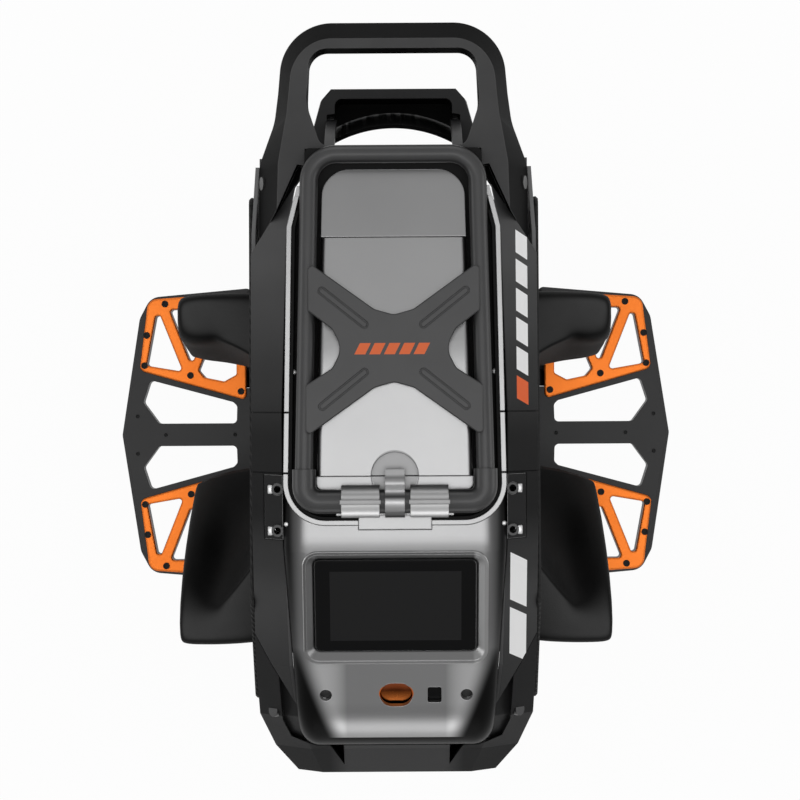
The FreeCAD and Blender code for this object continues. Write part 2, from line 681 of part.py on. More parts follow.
# Dash cover: one bent sheet from the well over the display to the nose, with rounded sides
def dash_block(inset):
    front = dash_front + inset
    top = dash_z - inset
    corner = nose_corner_z - inset * (1 / math.cos(math.radians(dash_slope)) - slope_tan)
    low = nose_z - 12
    back = deck_front
    side_view = [(back, top), (dash_bend, top), (front, corner), (front, low), (back, low)]
    block = prism_x(side_view, -200, 200, [0, 60, nose_radius - inset, 0, 0])
    half = dash_half - inset
    nose = dash_nose_half - inset
    plan = prism_z(plan_sides([(nose, dash_front - 1), (half, well_front - 20), (half, back)]), 0, 900)
    block = block.common(plan)
    edges = []
    for edge in block.Edges:
        middle = edge.CenterOfMass
        share = min(max((middle.y - dash_front + 1) / (well_front - 20 - dash_front + 1), 0), 1)
        on_side = abs(abs(middle.x) - nose - (half - nose) * share) < 0.4
        if on_side and middle.z > low + 1 and middle.y < back - 1 and edge.BoundBox.YLength > 1:
            edges.append(edge)
    return block.makeFillet(16 - inset, edges)


dash_low = nose_z - 12
dash = dash_block(0).cut(dash_block(dash_wall))
dash = dash.cut(box(-300, 300, -400, 400, 0, dash_low + 0.5))
parting = [(400, 0), (400, dash_z - 26), (dash_bend, dash_z - 26)]
parting += [(dash_front + 12, dash_low), (dash_front + 12, 0)]
dash = dash.cut([prism_x(parting, -300, 300), well_prism(trim_width + 0.2, 0, 900)])
dash = dash.cut(box(-300, 300, well_front + 16, 400, 0, 900))
display_z = dash_z - (dash_bend - display_y) * slope_tan


def frustum(wide, high, radius, spread, z0, z1):
    low = [(-wide / 2, -high / 2), (wide / 2, -high / 2), (wide / 2, high / 2), (-wide / 2, high / 2)]
    w = wide + 2 * spread
    h = high + 2 * spread
    top = [(-w / 2, -h / 2), (w / 2, -h / 2), (w / 2, h / 2), (-w / 2, h / 2)]
    outlines = [path(on_z(low, z0), radius), path(on_z(top, z1), radius + spread * 0.8)]
    return Part.makeLoft(outlines, True, True)


def on_display(shape):
    return leaned(shape, display_y, display_z, dash_slope)


def on_nose(shape):
    turn = math.radians(button_turn)
    y = nose_y - nose_radius * math.sin(turn)
    z = nose_z + nose_radius * math.cos(turn)
    return leaned(shape, y, z, button_turn)


bezel_depth = 5
bezel_out = frustum(display_wide + 4, display_high + 4, 6, 6.5, -bezel_depth - 3, 0.6)
bezel = bezel_out.cut(frustum(display_wide, display_high, 4, 6.5, -bezel_depth, 1))
seat_x = display_wide / 2 - 4
seat_y = display_high / 2 - 4
bezel = bezel.cut(box(-seat_x, seat_x, -seat_y, seat_y, -20, 5))
nodes["display_bezel"] = on_display(bezel)
glass = frustum(display_wide - 1, display_high - 1, 3.5, 0, -bezel_depth, -bezel_depth + 1.8)
nodes["display_glass"] = on_display(glass)
module = box(1 - seat_x, seat_x - 1, 1 - seat_y, seat_y - 1, -bezel_depth - 9, -bezel_depth)
nodes["display_module"] = on_display(module)
dash = dash.cut(on_display(frustum(display_wide + 4.5, display_high + 4.5, 6, 6.6, -bezel_depth - 3, 0.7)))


def stadium(wide, high, z0, z1):
    points = [(-wide / 2, -high / 2), (wide / 2, -high / 2), (wide / 2, high / 2), (-wide / 2, high / 2)]
    return prism_z(points, z0, z1, high / 2)


button = stadium(button_wide, button_high, -6, -0.6)
dish = Part.makeSphere(40, Vector(0, 0, 37.2))
nodes["power_button"] = on_nose(button.cut(dish))
plug_x = dash_nose_half - 19.9
plug_radius = 4.4
window_x = plug_x - 23.5


def window_block(grow, z0, z1):
    half_x = 5 + grow
    half_y = 6 + grow
    points = [(window_x - half_x, -half_y), (window_x + half_x, -half_y)]
    points += [(window_x + half_x, half_y), (window_x - half_x, half_y)]
    return prism_z(points, z0, z1, 1.5)


nodes["sensor_window"] = on_nose(window_block(0, -5, -0.3))
plug = rod(Vector(plug_x, 0, -6), Vector(plug_x, 0, -0.4), plug_radius)
nodes["dash_plugs"] = on_nose(both(plug))
plug_hole = rod(Vector(plug_x, 0, -12), Vector(plug_x, 0, 6), plug_radius + fit)
dash = dash.cut(on_nose(stadium(button_wide + 2 * gap, button_high + 2 * gap, -12, 6)))
dash = dash.cut([on_nose(window_block(fit, -12, 6)), on_nose(both(plug_hole))])

# Well tray and silver trim round it
tray = well_prism(-fit, tray_z, dash_z - 1).cut(well_prism(-2.5, tray_top, 900))
tray = tray.cut([box(-300, 300, well_neck - 4, 400, tray_top, 900),
                 box(-300, 300, well_neck - 24, 400, tray_top + 6, 900)])
tongue_half = 26
tongue_front = well_front - 6.5
tongue_z = dash_z - 2
room_half = tongue_half + gap
tongue_room = box(-room_half, room_half, tongue_front - gap, well_front + 6, tongue_z - 0.02, 900)
tray = tray.cut(tongue_room)
dash = dash.cut(tongue_room)
trim = well_prism(trim_width, dash_z - 10, dash_z + 1).cut(well_prism(fit, 0, 900))
trim = trim.cut([tongue_room, box(-300, 300, well_neck - 6, 400, 0, 900),
                 box(-300, 300, well_neck - 14, 400, dash_z - 4, 900)])
trim = trim.cut([box(-300, 300, y - 0.6, y + 0.6, 0, 900) for y in (seam_rear, seam_front)])
nodes["handle_tray"] = tray
nodes["trim_strips"] = group([trim])
nodes["dash_cover"] = dash


# Deck cover and rear lid
def deck_block(inset):
    front = deck_front + inset
    rear = deck_lid_y - inset
    top = deck_z - inset
    points = [(front, tray_top), (front, top), (deck_break, top), (rear, top - 11), (rear, tray_top)]
    plan = [(deck_half - inset, deck_front - 1), (deck_rear_half - inset, deck_lid_y + 1)]
    return prism_x(points, -200, 200, [0, 0, 200, 0, 0]).common(prism_z(plan_sides(plan), 0, 900))


recess = rod(Vector(0, deck_front, deck_z - 9), Vector(0, deck_front, deck_z + 9), 17)
recess_wall = rod(Vector(0, deck_front, 0), Vector(0, deck_front, 900), 20)
deck = deck_block(0)
top_edges = [e for e in deck.Edges if abs(e.CenterOfMass.x) > 40 and e.BoundBox.YLength > 5
             and e.CenterOfMass.z > tray_top + 8]
deck = deck.makeFillet(4, top_edges)
deck = deck.cut(deck_block(panel_wall).cut(recess_wall)).cut(recess)
nodes["deck_cover"] = deck
lid_drop = 9
lid = prism_x([(deck_lid_y + gap, tray_top), (deck_lid_y + gap, deck_z - 11.5),
               (deck_rear, deck_z - 11.5 - lid_drop), (deck_rear, tray_top)], -200, 200, [0, 0.5, 0, 0])
lid = lid.common(prism_z(plan_sides([(deck_rear_half, deck_lid_y), (deck_rear_half - 1, deck_rear)]), 0, 900,
                         [0, 20, 20, 0]))
nodes["deck_lid"] = lid

# Hinge base, clamps and latch
bar_room = bar_radius + hinge_gap
clamp_radius = bar_radius + 3
clamp_top = hinge_z + clamp_radius
pedestal_top = hinge_z - bar_radius - 1.5
base = box(-42, 42, hinge_y - 10.5, hinge_y + 10.5, tray_top, pedestal_top)
base = base.fuse(box(-tongue_half, tongue_half, tongue_front, hinge_y, tongue_z, dash_z + 1))
base = base.fuse(prism_z([(-deck_half, hinge_y + 8), (deck_half, hinge_y + 8), (deck_half, deck_front - gap),
                          (-deck_half, deck_front - gap)], tray_top, pedestal_top, [8, 8, 0, 0]))
base = base.cut([box(-8, 8, hinge_y - 14, hinge_y + 14, hinge_z - clamp_radius - 1, 900), recess])
nodes["hinge_base"] = base.removeSplitter()
clamp_in = 11
clamp_end = 38
clamp = box(clamp_in, clamp_end, hinge_y - clamp_radius, hinge_y + clamp_radius, pedestal_top, hinge_z)
clamp = clamp.fuse(rod(Vector(clamp_in, hinge_y, hinge_z), Vector(clamp_end, hinge_y, hinge_z), clamp_radius))
ridge = box(clamp_in - 1, clamp_end + 1, hinge_y - 1.5, hinge_y + 1.5, clamp_top - 2, clamp_top + 1)
clamp = clamp.fuse(ridge)
clamp = clamp.cut([rod(Vector(0, hinge_y, hinge_z), Vector(clamp_end + 2, hinge_y, hinge_z), bar_room),
                   box(0, clamp_end + 2, hinge_y - 30, hinge_y + 30, 0, pedestal_top)])
nodes["hinge_clamps"] = both(clamp.removeSplitter())
latch = rod(Vector(-7, hinge_y, hinge_z), Vector(7, hinge_y, hinge_z), clamp_radius)
latch = latch.fuse(prism_x([(hinge_y, hinge_z - 2), (hinge_y + 21, hinge_z - 2), (hinge_y + 23, hinge_z),
                            (hinge_y + 23, hinge_z + 1.5), (hinge_y + 12, hinge_z + 3),
                            (hinge_y + 8, clamp_top - 3), (hinge_y, clamp_top)], -7, 7))
latch = latch.cut(rod(Vector(-8, hinge_y, hinge_z), Vector(8, hinge_y, hinge_z), bar_room))
nodes["latch_lever"] = latch.removeSplitter()

# Trolley handle: hinge bar with elbows, tube loop and X brace, drawn level
elbow_end = hinge_y + 23
bar_path = plan_sides([(loop_half, elbow_end), (loop_half, hinge_y)])
bar = sweep(on_z(bar_path, hinge_z), [0, 22, 22, 0], bar_radius)
loop_path = plan_sides([(loop_half, elbow_end), (loop_rear_half, loop_rear)])
loop = sweep(on_z(loop_path, hinge_z), [0, 20, 20, 0], tube_radius)
nodes["trolley_bar"] = tilted(bar)
nodes["trolley_loop"] = tilted(loop)
brace_y = (deck_front + deck_lid_y) / 2 + 5.2
arm_x = loop_rear_half + 1
brace_points = [(arm_x, 62), (14, 28), (0, 24), (-14, 28), (-arm_x, 62), (-arm_x, 27), (-44, 14), (-37, 0),
                (-44, -14), (-arm_x - 2, -26), (-arm_x - 2, -63), (-14, -28), (0, -24), (14, -28),
                (arm_x + 2, -63), (arm_x + 2, -26), (44, -14), (37, 0), (44, 14), (arm_x, 27)]
brace_z = hinge_z + tube_radius - 0.4
brace = prism_z([(x, brace_y + y) for x, y in brace_points], brace_z, brace_z + brace_thick,
                [3, 10, 10, 10, 3, 3, 8, 16, 8, 3, 3, 10, 10, 10, 3, 3, 8, 16, 8, 3])
top_edges = [e for e in brace.Edges if abs(e.CenterOfMass.z - brace_z - brace_thick) < 0.1]
brace = brace.makeChamfer(0.7, top_edges).cut(loop)
for sx in (-1, 1):
    for sy in (-1, 1):
        near = Vector(sx * 21, brace_y + sy * 17, brace_z + 1.6)
        far = Vector(sx * (arm_x - 10), brace_y + sy * 41, brace_z + 1.6)
        along = far - near
        groove = prism_z([(-3, -3), (along.Length + 3, -3), (along.Length + 3, 3), (-3, 3)], 0, 5, 2.9)
        island = prism_z([(-1.6, -1.6), (along.Length + 1.6, -1.6), (along.Length + 1.6, 1.6), (-1.6, 1.6)],
                         0, 1, 1.5)
        groove = groove.cut(island)
        groove.rotate(Vector(0, 0, 0), Vector(0, 0, 1), math.degrees(math.atan2(along.y, along.x)))
        groove.translate(near)
        brace = brace.cut(groove)
nodes["trolley_brace"] = tilted(brace)

# Carry handle: lofted arch whose outer face leans in to a ridge
handle_low = panel_top - 74
handle_top = panel_top - 8
arch_a = plan_sides([(body_half + 1, deck_rear - 76), (body_half - 2, deck_rear + 7),
                     (body_half - 15.5, deck_rear + 40), (body_half - 21, handle_rear)])
arch_b = plan_sides([(body_half - 19, deck_rear - 76), (body_half - 25.5, deck_rear + 7),
                     (body_half - 31.5, deck_rear + 40), (body_half - 39, handle_rear - handle_lean)])
arch_radii = [0, 40, 60, 42, 42, 60, 40, 0]
outlines = [path(on_z(arch_a, handle_low), arch_radii), path(on_z(arch_b, handle_top), arch_radii)]
handle = Part.makeLoft(outlines, True, True)
opening = plan_sides([(body_half - 52.5, well_rear + 2.5), (body_half - 42, well_rear + 34),
                      (body_half - 44, handle_rear - handle_bar)])
mouth = [(body_half - 19, deck_rear - 96), (body_half - 19, deck_rear - 32)]
mouth += [(rear_half + 5.5, well_rear - 11), (rear_half + fit, well_rear - 12)]
mouth += [(rear_half + fit, well_rear + gap)]
band = [(deck_rear - 96, panel_top - 60), (well_rear, panel_top - 74), (handle_rear - 60, panel_top - 62)]
band += [(handle_rear + 5, panel_top - 60), (handle_rear + 5, panel_top - 36)]
band += [(deck_rear - 96, panel_top - 4)]
handle = handle.cut([prism_z(opening, 0, 900, [8, 25, 14, 14, 25, 8]), prism_z(plan_sides(mouth), 0, 900)])
handle = handle.common(prism_x(band, -200, 200))
behind = rear_zone(gap)
floor = box(8 - rear_half, rear_half - 8, well_rear - 7, 400, 0, 900)
handle = handle.common(behind.fuse([mirror(behind), floor]))
corner = [(body_half - 17, deck_rear - 33), (body_half - 35, deck_rear + 6)]
corner += [(rear_half + 0.6, well_rear - 2), (rear_half + 0.6, well_neck + 1)]
corner += [(rear_half + 4.2, well_neck - 3), (rear_half + 7, well_neck - 8)]
ledge = envelope(5).cut(envelope(10)).common(prism_z(corner, 0, 900)).common(behind)
handle = handle.fuse([ledge, mirror(ledge)]).removeSplitter()


def face_bolt(piece, y, z, lean):
    # Bolt set square into the leaning outer face of a piece, found along a level line.
    ray = Part.makeLine(Vector(60, y, z), Vector(200, y, z))
    seat = max(v.X for v in ray.common(piece).Vertexes)
    out = Vector(math.cos(math.radians(lean)), 0, math.sin(math.radians(lean)))
    foot = Vector(seat, y, z) - out * 5
    return rod(foot, foot + out * 6, 5)


handle_bolt = face_bolt(handle, deck_rear - 6, panel_top - 54, 20)
nodes["carry_handle"] = handle.cut([handle_bolt, mirror(handle_bolt)])

# Tail bracket, flap and tail light
tail_low = plate_low - 36
tail_high = plate_low + 8
tail_a = plan_sides([(frame_out + 15, arch_out - 77), (frame_out + 14, arch_out - 11),
                     (frame_out + 6.5, arch_out + 16), (frame_out - 1.5, tail_rear)])
tail_b = plan_sides([(frame_out + 12, arch_out - 77), (frame_out + 11, arch_out - 11),
                     (frame_out + 4, arch_out + 13), (frame_out - 3.5, tail_rear - 4)])
tail = Part.makeLoft([path(on_z(tail_a, tail_low)), path(on_z(tail_b, tail_high))], True, True)
tail_hole = plan_sides([(frame_out + fit, arch_out - 113), (frame_out + fit, arch_out + gap),
                        (frame_half - 2.5, arch_out + gap + 1), (frame_half - 2.5, tail_rear - 12)])
tail = tail.cut(prism_z(tail_hole, 0, 900, [0, 0, 0, 9, 9, 0, 0, 0]))
lens_points = [(-30, tail_low + 16), (30, tail_low + 16), (30, tail_low + 32), (-30, tail_low + 32)]
lens = prism_y(lens_points, tail_rear - 10, tail_rear - 5, 5)
tail = tail.cut(prism_y(lens_points, tail_rear - 10, tail_rear + 1, 5))
nodes["tail_bracket"] = tail
nodes["tail_light"] = lens
flap_radius = 100
flap_y = tyre_radius + 2 - flap_radius
flap_top = plate_low + 10
flap_half = frame_half - fit
flap = tube(Vector(0, flap_y, flap_top - 100), Vector(0, flap_y, flap_top), flap_radius + 3, flap_radius)
flap = flap.common(box(-flap_half, flap_half, flap_y, 400, 0, 900))
flap.rotate(Vector(0, flap_y + flap_radius, flap_top), Vector(1, 0, 0), 17)
nodes["mud_flap"] = flap.cut(tail)

# Front bumper, headlight and vent grille
zone = front_zone(gap)
ahead = zone.fuse([mirror(zone), box(-41, 41, -400, dash_front + 5, 0, 900)])
nose_room = plan_sides([(dash_nose_half + gap, bumper_front + 26), (dash_nose_half + gap, dash_front),
                        (top_half, well_front - 20)])
bumper_in = plan_sides([(body_half - 43, bumper_front + 26), (body_half - 24, dash_front),
                        (body_half - 19, dash_front + 16), (body_half - 18, dash_front + 52),
                        (body_half - 18, dash_front + 128)])
thick = body.cut(envelope(11)).common(ahead).cut(prism_z(bumper_in, 0, 900))
thin = envelope(6).cut(envelope(11)).common(ahead).cut(prism_z(nose_room, 0, 900))
bumper = thick.fuse(thin).cut(box(-200, 200, -400, 400, 0, plate_low + 22))
bumper = bumper.cut(rod(Vector(-frame_out - gap, 0, bump_z), Vector(frame_out + gap, 0, bump_z),
                        arch_out + gap))
lamp_half = body_half - 57
lamp = [(-lamp_half, plate_low + 50), (lamp_half, plate_low + 50)]
lamp += [(lamp_half, plate_low + 80), (-lamp_half, plate_low + 80)]
lamp_lens = prism_y(lamp, bumper_front + 0.5, bumper_front + 8, 8)
bumper = bumper.cut(prism_y(lamp, bumper_front - 5, bumper_front + 8, 8))
bumper = bumper.removeSplitter()
bumper_bolt = face_bolt(bumper, dash_front + 24, panel_top - 102, 42)
nodes["front_bumper"] = bumper.cut([bumper_bolt, mirror(bumper_bolt)])
nodes["body_bolts"] = both(group([handle_bolt, bumper_bolt]))
nodes["headlight_lens"] = lamp_lens
grille_half = body_half - 43
grille_low = dash_low - 35
grille = prism_x([(dash_front - 0.5, dash_low + 2), (bumper_front + 27, grille_low + 10),
                  (bumper_front + 27, grille_low), (dash_front - 0.5, grille_low)], -grille_half, grille_half)
holes = []
for i in range(-5, 6):
    holes.append(prism_z([(i * 10.5 + 3.4 * math.cos(math.radians(60 * k)),
                           dash_front - 5 + 3.4 * math.sin(math.radians(60 * k))) for k in range(6)],
                         grille_low + 2, 900))
nodes["vent_grille"] = grille.cut(holes)

# Battery packs either side of the forks, control board on its heat sink, rear cover
pack_in = frame_out + fit
pack_front = dash_front + 68
front_pack = box(pack_in, panel_in, pack_front, -crown_half - 2, plate_low + 8, panel_top - 95)
rear_pack = box(pack_in, panel_in, crown_half + 2, deck_rear - 18, plate_low + 12, panel_top - 62)
pack_room = envelope(12)
nodes["battery_packs"] = both(group([front_pack.common(pack_room), rear_pack.common(pack_room)]))
sink = box(6 - frame_half, frame_half - 6, pack_front, dash_bend + 12, bump_z + 180, tray_z - 36)
sink = sink.cut(rod(Vector(-100, 0, bump_z), Vector(100, 0, bump_z), arch_out + fit))
nodes["heat_sink"] = sink
nodes["control_board"] = box(4 - frame_half, frame_half - 4, pack_front + 2, dash_bend + 10,
                             tray_z - 36, tray_z - 26)
half_points = [(body_half - 5, bump_z + 165), (body_half - 5, panel_top - 82)]
half_points += [(rear_half - 4, panel_top - 82), (rear_half - 4, tray_z - 1)]
back = prism_y(plan_sides(half_points), deck_rear + 8, well_rear - 1)
back = back.cut(rod(Vector(-100, 0, bump_z), Vector(100, 0, bump_z), arch_out + fit))
port = Vector(40, deck_rear + 8, tray_z - 74)
back = back.cut(rod(port - Vector(0, 5, 0), port + Vector(0, 20, 0), 9))
nodes["rear_cover"] = back.fuse(tube(port, port + Vector(0, 7, 0), 9, 6)).removeSplitter()

os.makedirs("parts", exist_ok=True)
for name, shape in nodes.items():
    shape.exportStep("parts/" + name + ".step")
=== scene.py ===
import json
import math

import bpy
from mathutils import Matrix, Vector

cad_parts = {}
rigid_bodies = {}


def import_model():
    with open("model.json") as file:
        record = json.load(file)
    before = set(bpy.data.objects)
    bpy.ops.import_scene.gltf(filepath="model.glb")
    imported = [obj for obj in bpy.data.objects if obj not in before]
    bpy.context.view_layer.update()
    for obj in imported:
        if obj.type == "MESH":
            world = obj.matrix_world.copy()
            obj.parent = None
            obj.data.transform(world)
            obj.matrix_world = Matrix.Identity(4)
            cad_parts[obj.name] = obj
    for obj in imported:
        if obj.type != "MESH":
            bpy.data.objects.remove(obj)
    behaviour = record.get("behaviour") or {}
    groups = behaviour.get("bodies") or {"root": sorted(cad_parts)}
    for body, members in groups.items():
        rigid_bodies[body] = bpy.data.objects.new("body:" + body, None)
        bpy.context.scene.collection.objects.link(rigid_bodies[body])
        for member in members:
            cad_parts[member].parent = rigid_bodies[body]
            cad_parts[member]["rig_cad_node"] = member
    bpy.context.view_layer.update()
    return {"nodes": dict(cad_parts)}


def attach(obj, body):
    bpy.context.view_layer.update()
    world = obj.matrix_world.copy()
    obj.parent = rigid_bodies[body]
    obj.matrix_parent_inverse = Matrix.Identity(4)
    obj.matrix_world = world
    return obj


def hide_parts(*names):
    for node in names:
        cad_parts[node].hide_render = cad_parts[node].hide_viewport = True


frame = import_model()
nodes = frame["nodes"]
scene = bpy.context.scene
scene.view_settings.view_transform = "Standard"

# Camera: it hangs straight over the machine, a little behind its middle, and looks down.
# The picture has the display at the bottom, and leans by a third of a degree.
camera_place = (0.004, 0.030, 2.5)
camera_lean = math.radians(-0.34)
camera_data = bpy.data.cameras.new("camera")
camera_data.sensor_fit = "HORIZONTAL"
camera_data.sensor_width = 36.0
camera_data.lens = 116.3
camera_data.clip_end = 50.0
camera = bpy.data.objects.new("camera", camera_data)
camera.location = camera_place
camera.rotation_euler = (0.0, 0.0, camera_lean)
scene.collection.objects.link(camera)
scene.camera = camera

# White studio: a pale floor that keeps a faint shadow, and soft grey light from all round that is
# dimmest halfway up, with one softbox hung over the machine and four standing round it.


def start_piece():
    bpy.ops.object.select_all(action="DESELECT")


def feed(tree, value, socket):
    # Gives a socket a number, a colour or a link.
    if isinstance(value, (int, float)):
        socket.default_value = value
    elif isinstance(value, tuple):
        socket.default_value = value + (1.0,)
    else:
        tree.links.new(value, socket)


def maths(tree, operation, first, second=0.0):
    # A Math node whose inputs are links or numbers.
    node = tree.nodes.new("ShaderNodeMath")
    node.operation = operation
    feed(tree, first, node.inputs[0])
    feed(tree, second, node.inputs[1])
    return node.outputs["Value"]


def tint(tree, share, first, second):
    # A colour between two, each a link or a colour.
    node = tree.nodes.new("ShaderNodeMix")
    node.data_type = "RGBA"
    feed(tree, share, node.inputs["Factor"])
    feed(tree, first, node.inputs["A"])
    feed(tree, second, node.inputs["B"])
    return node.outputs["Result"]


def grey_ramp(tree, value, steps, kind="LINEAR"):
    # A grey that goes from step to step; each step is a place from 0 to 1 and a level.
    node = tree.nodes.new("ShaderNodeValToRGB")
    ramp = node.color_ramp
    ramp.interpolation = kind
    ramp.elements[0].position = steps[0][0]
    ramp.elements[1].position = steps[-1][0]
    for place, level in steps[1:-1]:
        ramp.elements.new(place)
    for element, (place, level) in zip(ramp.elements, steps):
        element.color = (level, level, level, 1.0)
    tree.links.new(value, node.inputs["Fac"])
    return node.outputs["Color"]


def white_share(tree, to_camera, to_mirrors):
    # How white the backdrop is to the camera, and to rays that the machine mirrors or bends.
    ray = tree.nodes.new("ShaderNodeLightPath")
    seen = maths(tree, "MULTIPLY", ray.outputs["Is Camera Ray"], to_camera)
    bounced = maths(tree, "MAXIMUM", ray.outputs["Is Glossy Ray"], ray.outputs["Is Transmission Ray"])
    return maths(tree, "MAXIMUM", seen, maths(tree, "MULTIPLY", bounced, to_mirrors))


def softbox(name, place, aim, wide, high, power):
    data = bpy.data.lights.new(name, "AREA")
    data.shape = "RECTANGLE"
    data.size = wide
    data.size_y = high
    data.energy = power
    lamp = bpy.data.objects.new(name, data)
    lamp.location = place
    lamp.visible_camera = False
    lamp.rotation_euler = (Vector(aim) - Vector(place)).to_track_quat("-Z", "Y").to_euler()
    scene.collection.objects.link(lamp)


start_piece()
bpy.ops.mesh.primitive_circle_add(vertices=96, radius=6.0, fill_type="NGON")
floor = bpy.context.object
floor.name = "floor"
floor_paint = bpy.data.materials.new("floor_paint")
floor_paint.use_nodes = True
tree = floor_paint.node_tree
tree.nodes.clear()
output = tree.nodes.new("ShaderNodeOutputMaterial")
surface = tree.nodes.new("ShaderNodeMixShader")
matt = tree.nodes.new("ShaderNodeBsdfDiffuse")
matt.inputs["Color"].default_value = (0.86, 0.86, 0.86, 1.0)
white = tree.nodes.new("ShaderNodeEmission")
white.inputs["Color"].default_value = (1.0, 1.0, 1.0, 1.0)
tree.links.new(white_share(tree, to_camera=0.95, to_mirrors=0.45), surface.inputs["Fac"])
tree.links.new(matt.outputs["BSDF"], surface.inputs[1])
tree.links.new(white.outputs["Emission"], surface.inputs[2])
tree.links.new(surface.outputs["Shader"], output.inputs["Surface"])
floor.data.materials.append(floor_paint)

world = bpy.data.worlds.new("studio")
scene.world = world
world.use_nodes = True
tree = world.node_tree
tree.nodes.clear()
output = tree.nodes.new("ShaderNodeOutputWorld")
sky = tree.nodes.new("ShaderNodeBackground")
direction = tree.nodes.new("ShaderNodeTexCoord")
split = tree.nodes.new("ShaderNodeSeparateXYZ")
tree.links.new(direction.outputs["Generated"], split.inputs["Vector"])
room = grey_ramp(tree, split.outputs["Z"], (
    (0.0, 0.8), (0.1, 0.45), (0.35, 0.3), (0.6, 0.38), (0.82, 0.55), (0.99, 0.9)))
backdrop = tint(tree, white_share(tree, to_camera=1.0, to_mirrors=0.06), room, (1.0, 1.0, 1.0))
tree.links.new(backdrop, sky.inputs["Color"])
tree.links.new(sky.outputs["Background"], output.inputs["Surface"])

middle = (0.0, 0.0, 0.45)
softbox("softbox_over", (0.0, -0.12, 2.75), middle, wide=1.7, high=0.75, power=8)
softbox("softbox_front", (0.0, -2.3, 0.55), middle, wide=1.5, high=1.0, power=6)
softbox("softbox_left", (-2.4, 0.1, 1.1), middle, wide=1.8, high=1.2, power=12)
softbox("softbox_right", (2.4, 0.1, 1.1), middle, wide=1.8, high=1.2, power=12)
softbox("softbox_rear", (0.0, 2.5, 1.1), middle, wide=1.8, high=1.2, power=10)

# Wheel: a hollow road tyre with ribbed crown on a cast rim, bolted motor covers and a short valve.
# The rubber is moulded and dull; the metal is black anodised, with steel bolts and bearings.


def node_group(name, inputs, outputs):
    # An empty shader group with its named sockets.
    group = bpy.data.node_groups.new(name, "ShaderNodeTree")
    for label, value in inputs:
        socket = group.interface.new_socket(label, in_out="INPUT", socket_type="NodeSocketFloat")
        socket.default_value = value
    for label, kind in outputs:
        group.interface.new_socket(label, in_out="OUTPUT", socket_type=kind)
    return group, group.nodes.new("NodeGroupInput"), group.nodes.new("NodeGroupOutput")


def use_group(tree, group, label, value):
    # The outputs of a group in a material, with one of its inputs set.
    node = tree.nodes.new("ShaderNodeGroup")
    node.node_tree = group
    node.inputs[label].default_value = value
    return node.outputs


def spread(tree, value, low, high, to_low=0.0, to_high=1.0, kind="LINEAR"):
    # A value stretched from one range to another and held inside it.
    node = tree.nodes.new("ShaderNodeMapRange")
    node.interpolation_type = kind
    feed(tree, value, node.inputs["Value"])
    feed(tree, low, node.inputs["From Min"])
    feed(tree, high, node.inputs["From Max"])
    feed(tree, to_low, node.inputs["To Min"])
    feed(tree, to_high, node.inputs["To Max"])
    return node.outputs["Result"]


def noise(tree, where, scale, detail):
    node = tree.nodes.new("ShaderNodeTexNoise")
    tree.links.new(where, node.inputs["Vector"])
    feed(tree, scale, node.inputs["Scale"])
    feed(tree, detail, node.inputs["Detail"])
    return node.outputs["Fac"]


grain_group, grain_in, grain_out = node_group(
    "grain", (("Size", 0.001),), (("Height", "NodeSocketFloat"), ("Cloud", "NodeSocketFloat")))
spot = grain_group.nodes.new("ShaderNodeTexCoord").outputs["Object"]
fine = noise(grain_group, spot, maths(grain_group, "DIVIDE", 1.0, grain_in.outputs["Size"]), detail=4.0)
cloud = noise(grain_group, spot, scale=14.0, detail=3.0)
grain_group.links.new(fine, grain_out.inputs["Height"])
grain_group.links.new(spread(grain_group, cloud, 0.3, 0.7), grain_out.inputs["Cloud"])

edge_group, edge_in, edge_out = node_group(
    "soft_edges", (("Width", 0.0006),), (("Normal", "NodeSocketVector"), ("Edge", "NodeSocketFloat")))
round_over = edge_group.nodes.new("ShaderNodeBevel")
round_over.samples = 6
edge_group.links.new(edge_in.outputs["Width"], round_over.inputs["Radius"])
facing = edge_group.nodes.new("ShaderNodeNewGeometry")
turn = edge_group.nodes.new("ShaderNodeVectorMath")
turn.operation = "DOT_PRODUCT"
edge_group.links.new(round_over.outputs["Normal"], turn.inputs[0])
edge_group.links.new(facing.outputs["Normal"], turn.inputs[1])
edge_group.links.new(round_over.outputs["Normal"], edge_out.inputs["Normal"])
edge_group.links.new(spread(edge_group, turn.outputs["Value"], 0.99, 0.8), edge_out.inputs["Edge"])

# Settled dust that also paints top light: the flatter a face lies and looks up, the paler it gets, with a
# little drift in the amount.
dust_and_top_light_group, dust_and_top_light_in, dust_and_top_light_out = node_group(
    "settled_dust_and_top_light", (("From", 0.45), ("To", 0.97)), (("Dust_and_top_light", "NodeSocketFloat"),))
lie = dust_and_top_light_group.nodes.new("ShaderNodeTexCoord")
upright = dust_and_top_light_group.nodes.new("ShaderNodeSeparateXYZ")
dust_and_top_light_group.links.new(lie.outputs["Normal"], upright.inputs["Vector"])
lying = spread(dust_and_top_light_group, upright.outputs["Z"], dust_and_top_light_in.outputs["From"], dust_and_top_light_in.outputs["To"],
               kind="SMOOTHSTEP")
drift = noise(dust_and_top_light_group, lie.outputs["Object"], scale=30.0, detail=5.0)
settled_and_lit = maths(dust_and_top_light_group, "MULTIPLY", lying, spread(dust_and_top_light_group, drift, 0.2, 0.8, 0.8, 1.0))
dust_and_top_light_group.links.new(settled_and_lit, dust_and_top_light_out.inputs["Dust_and_top_light"])


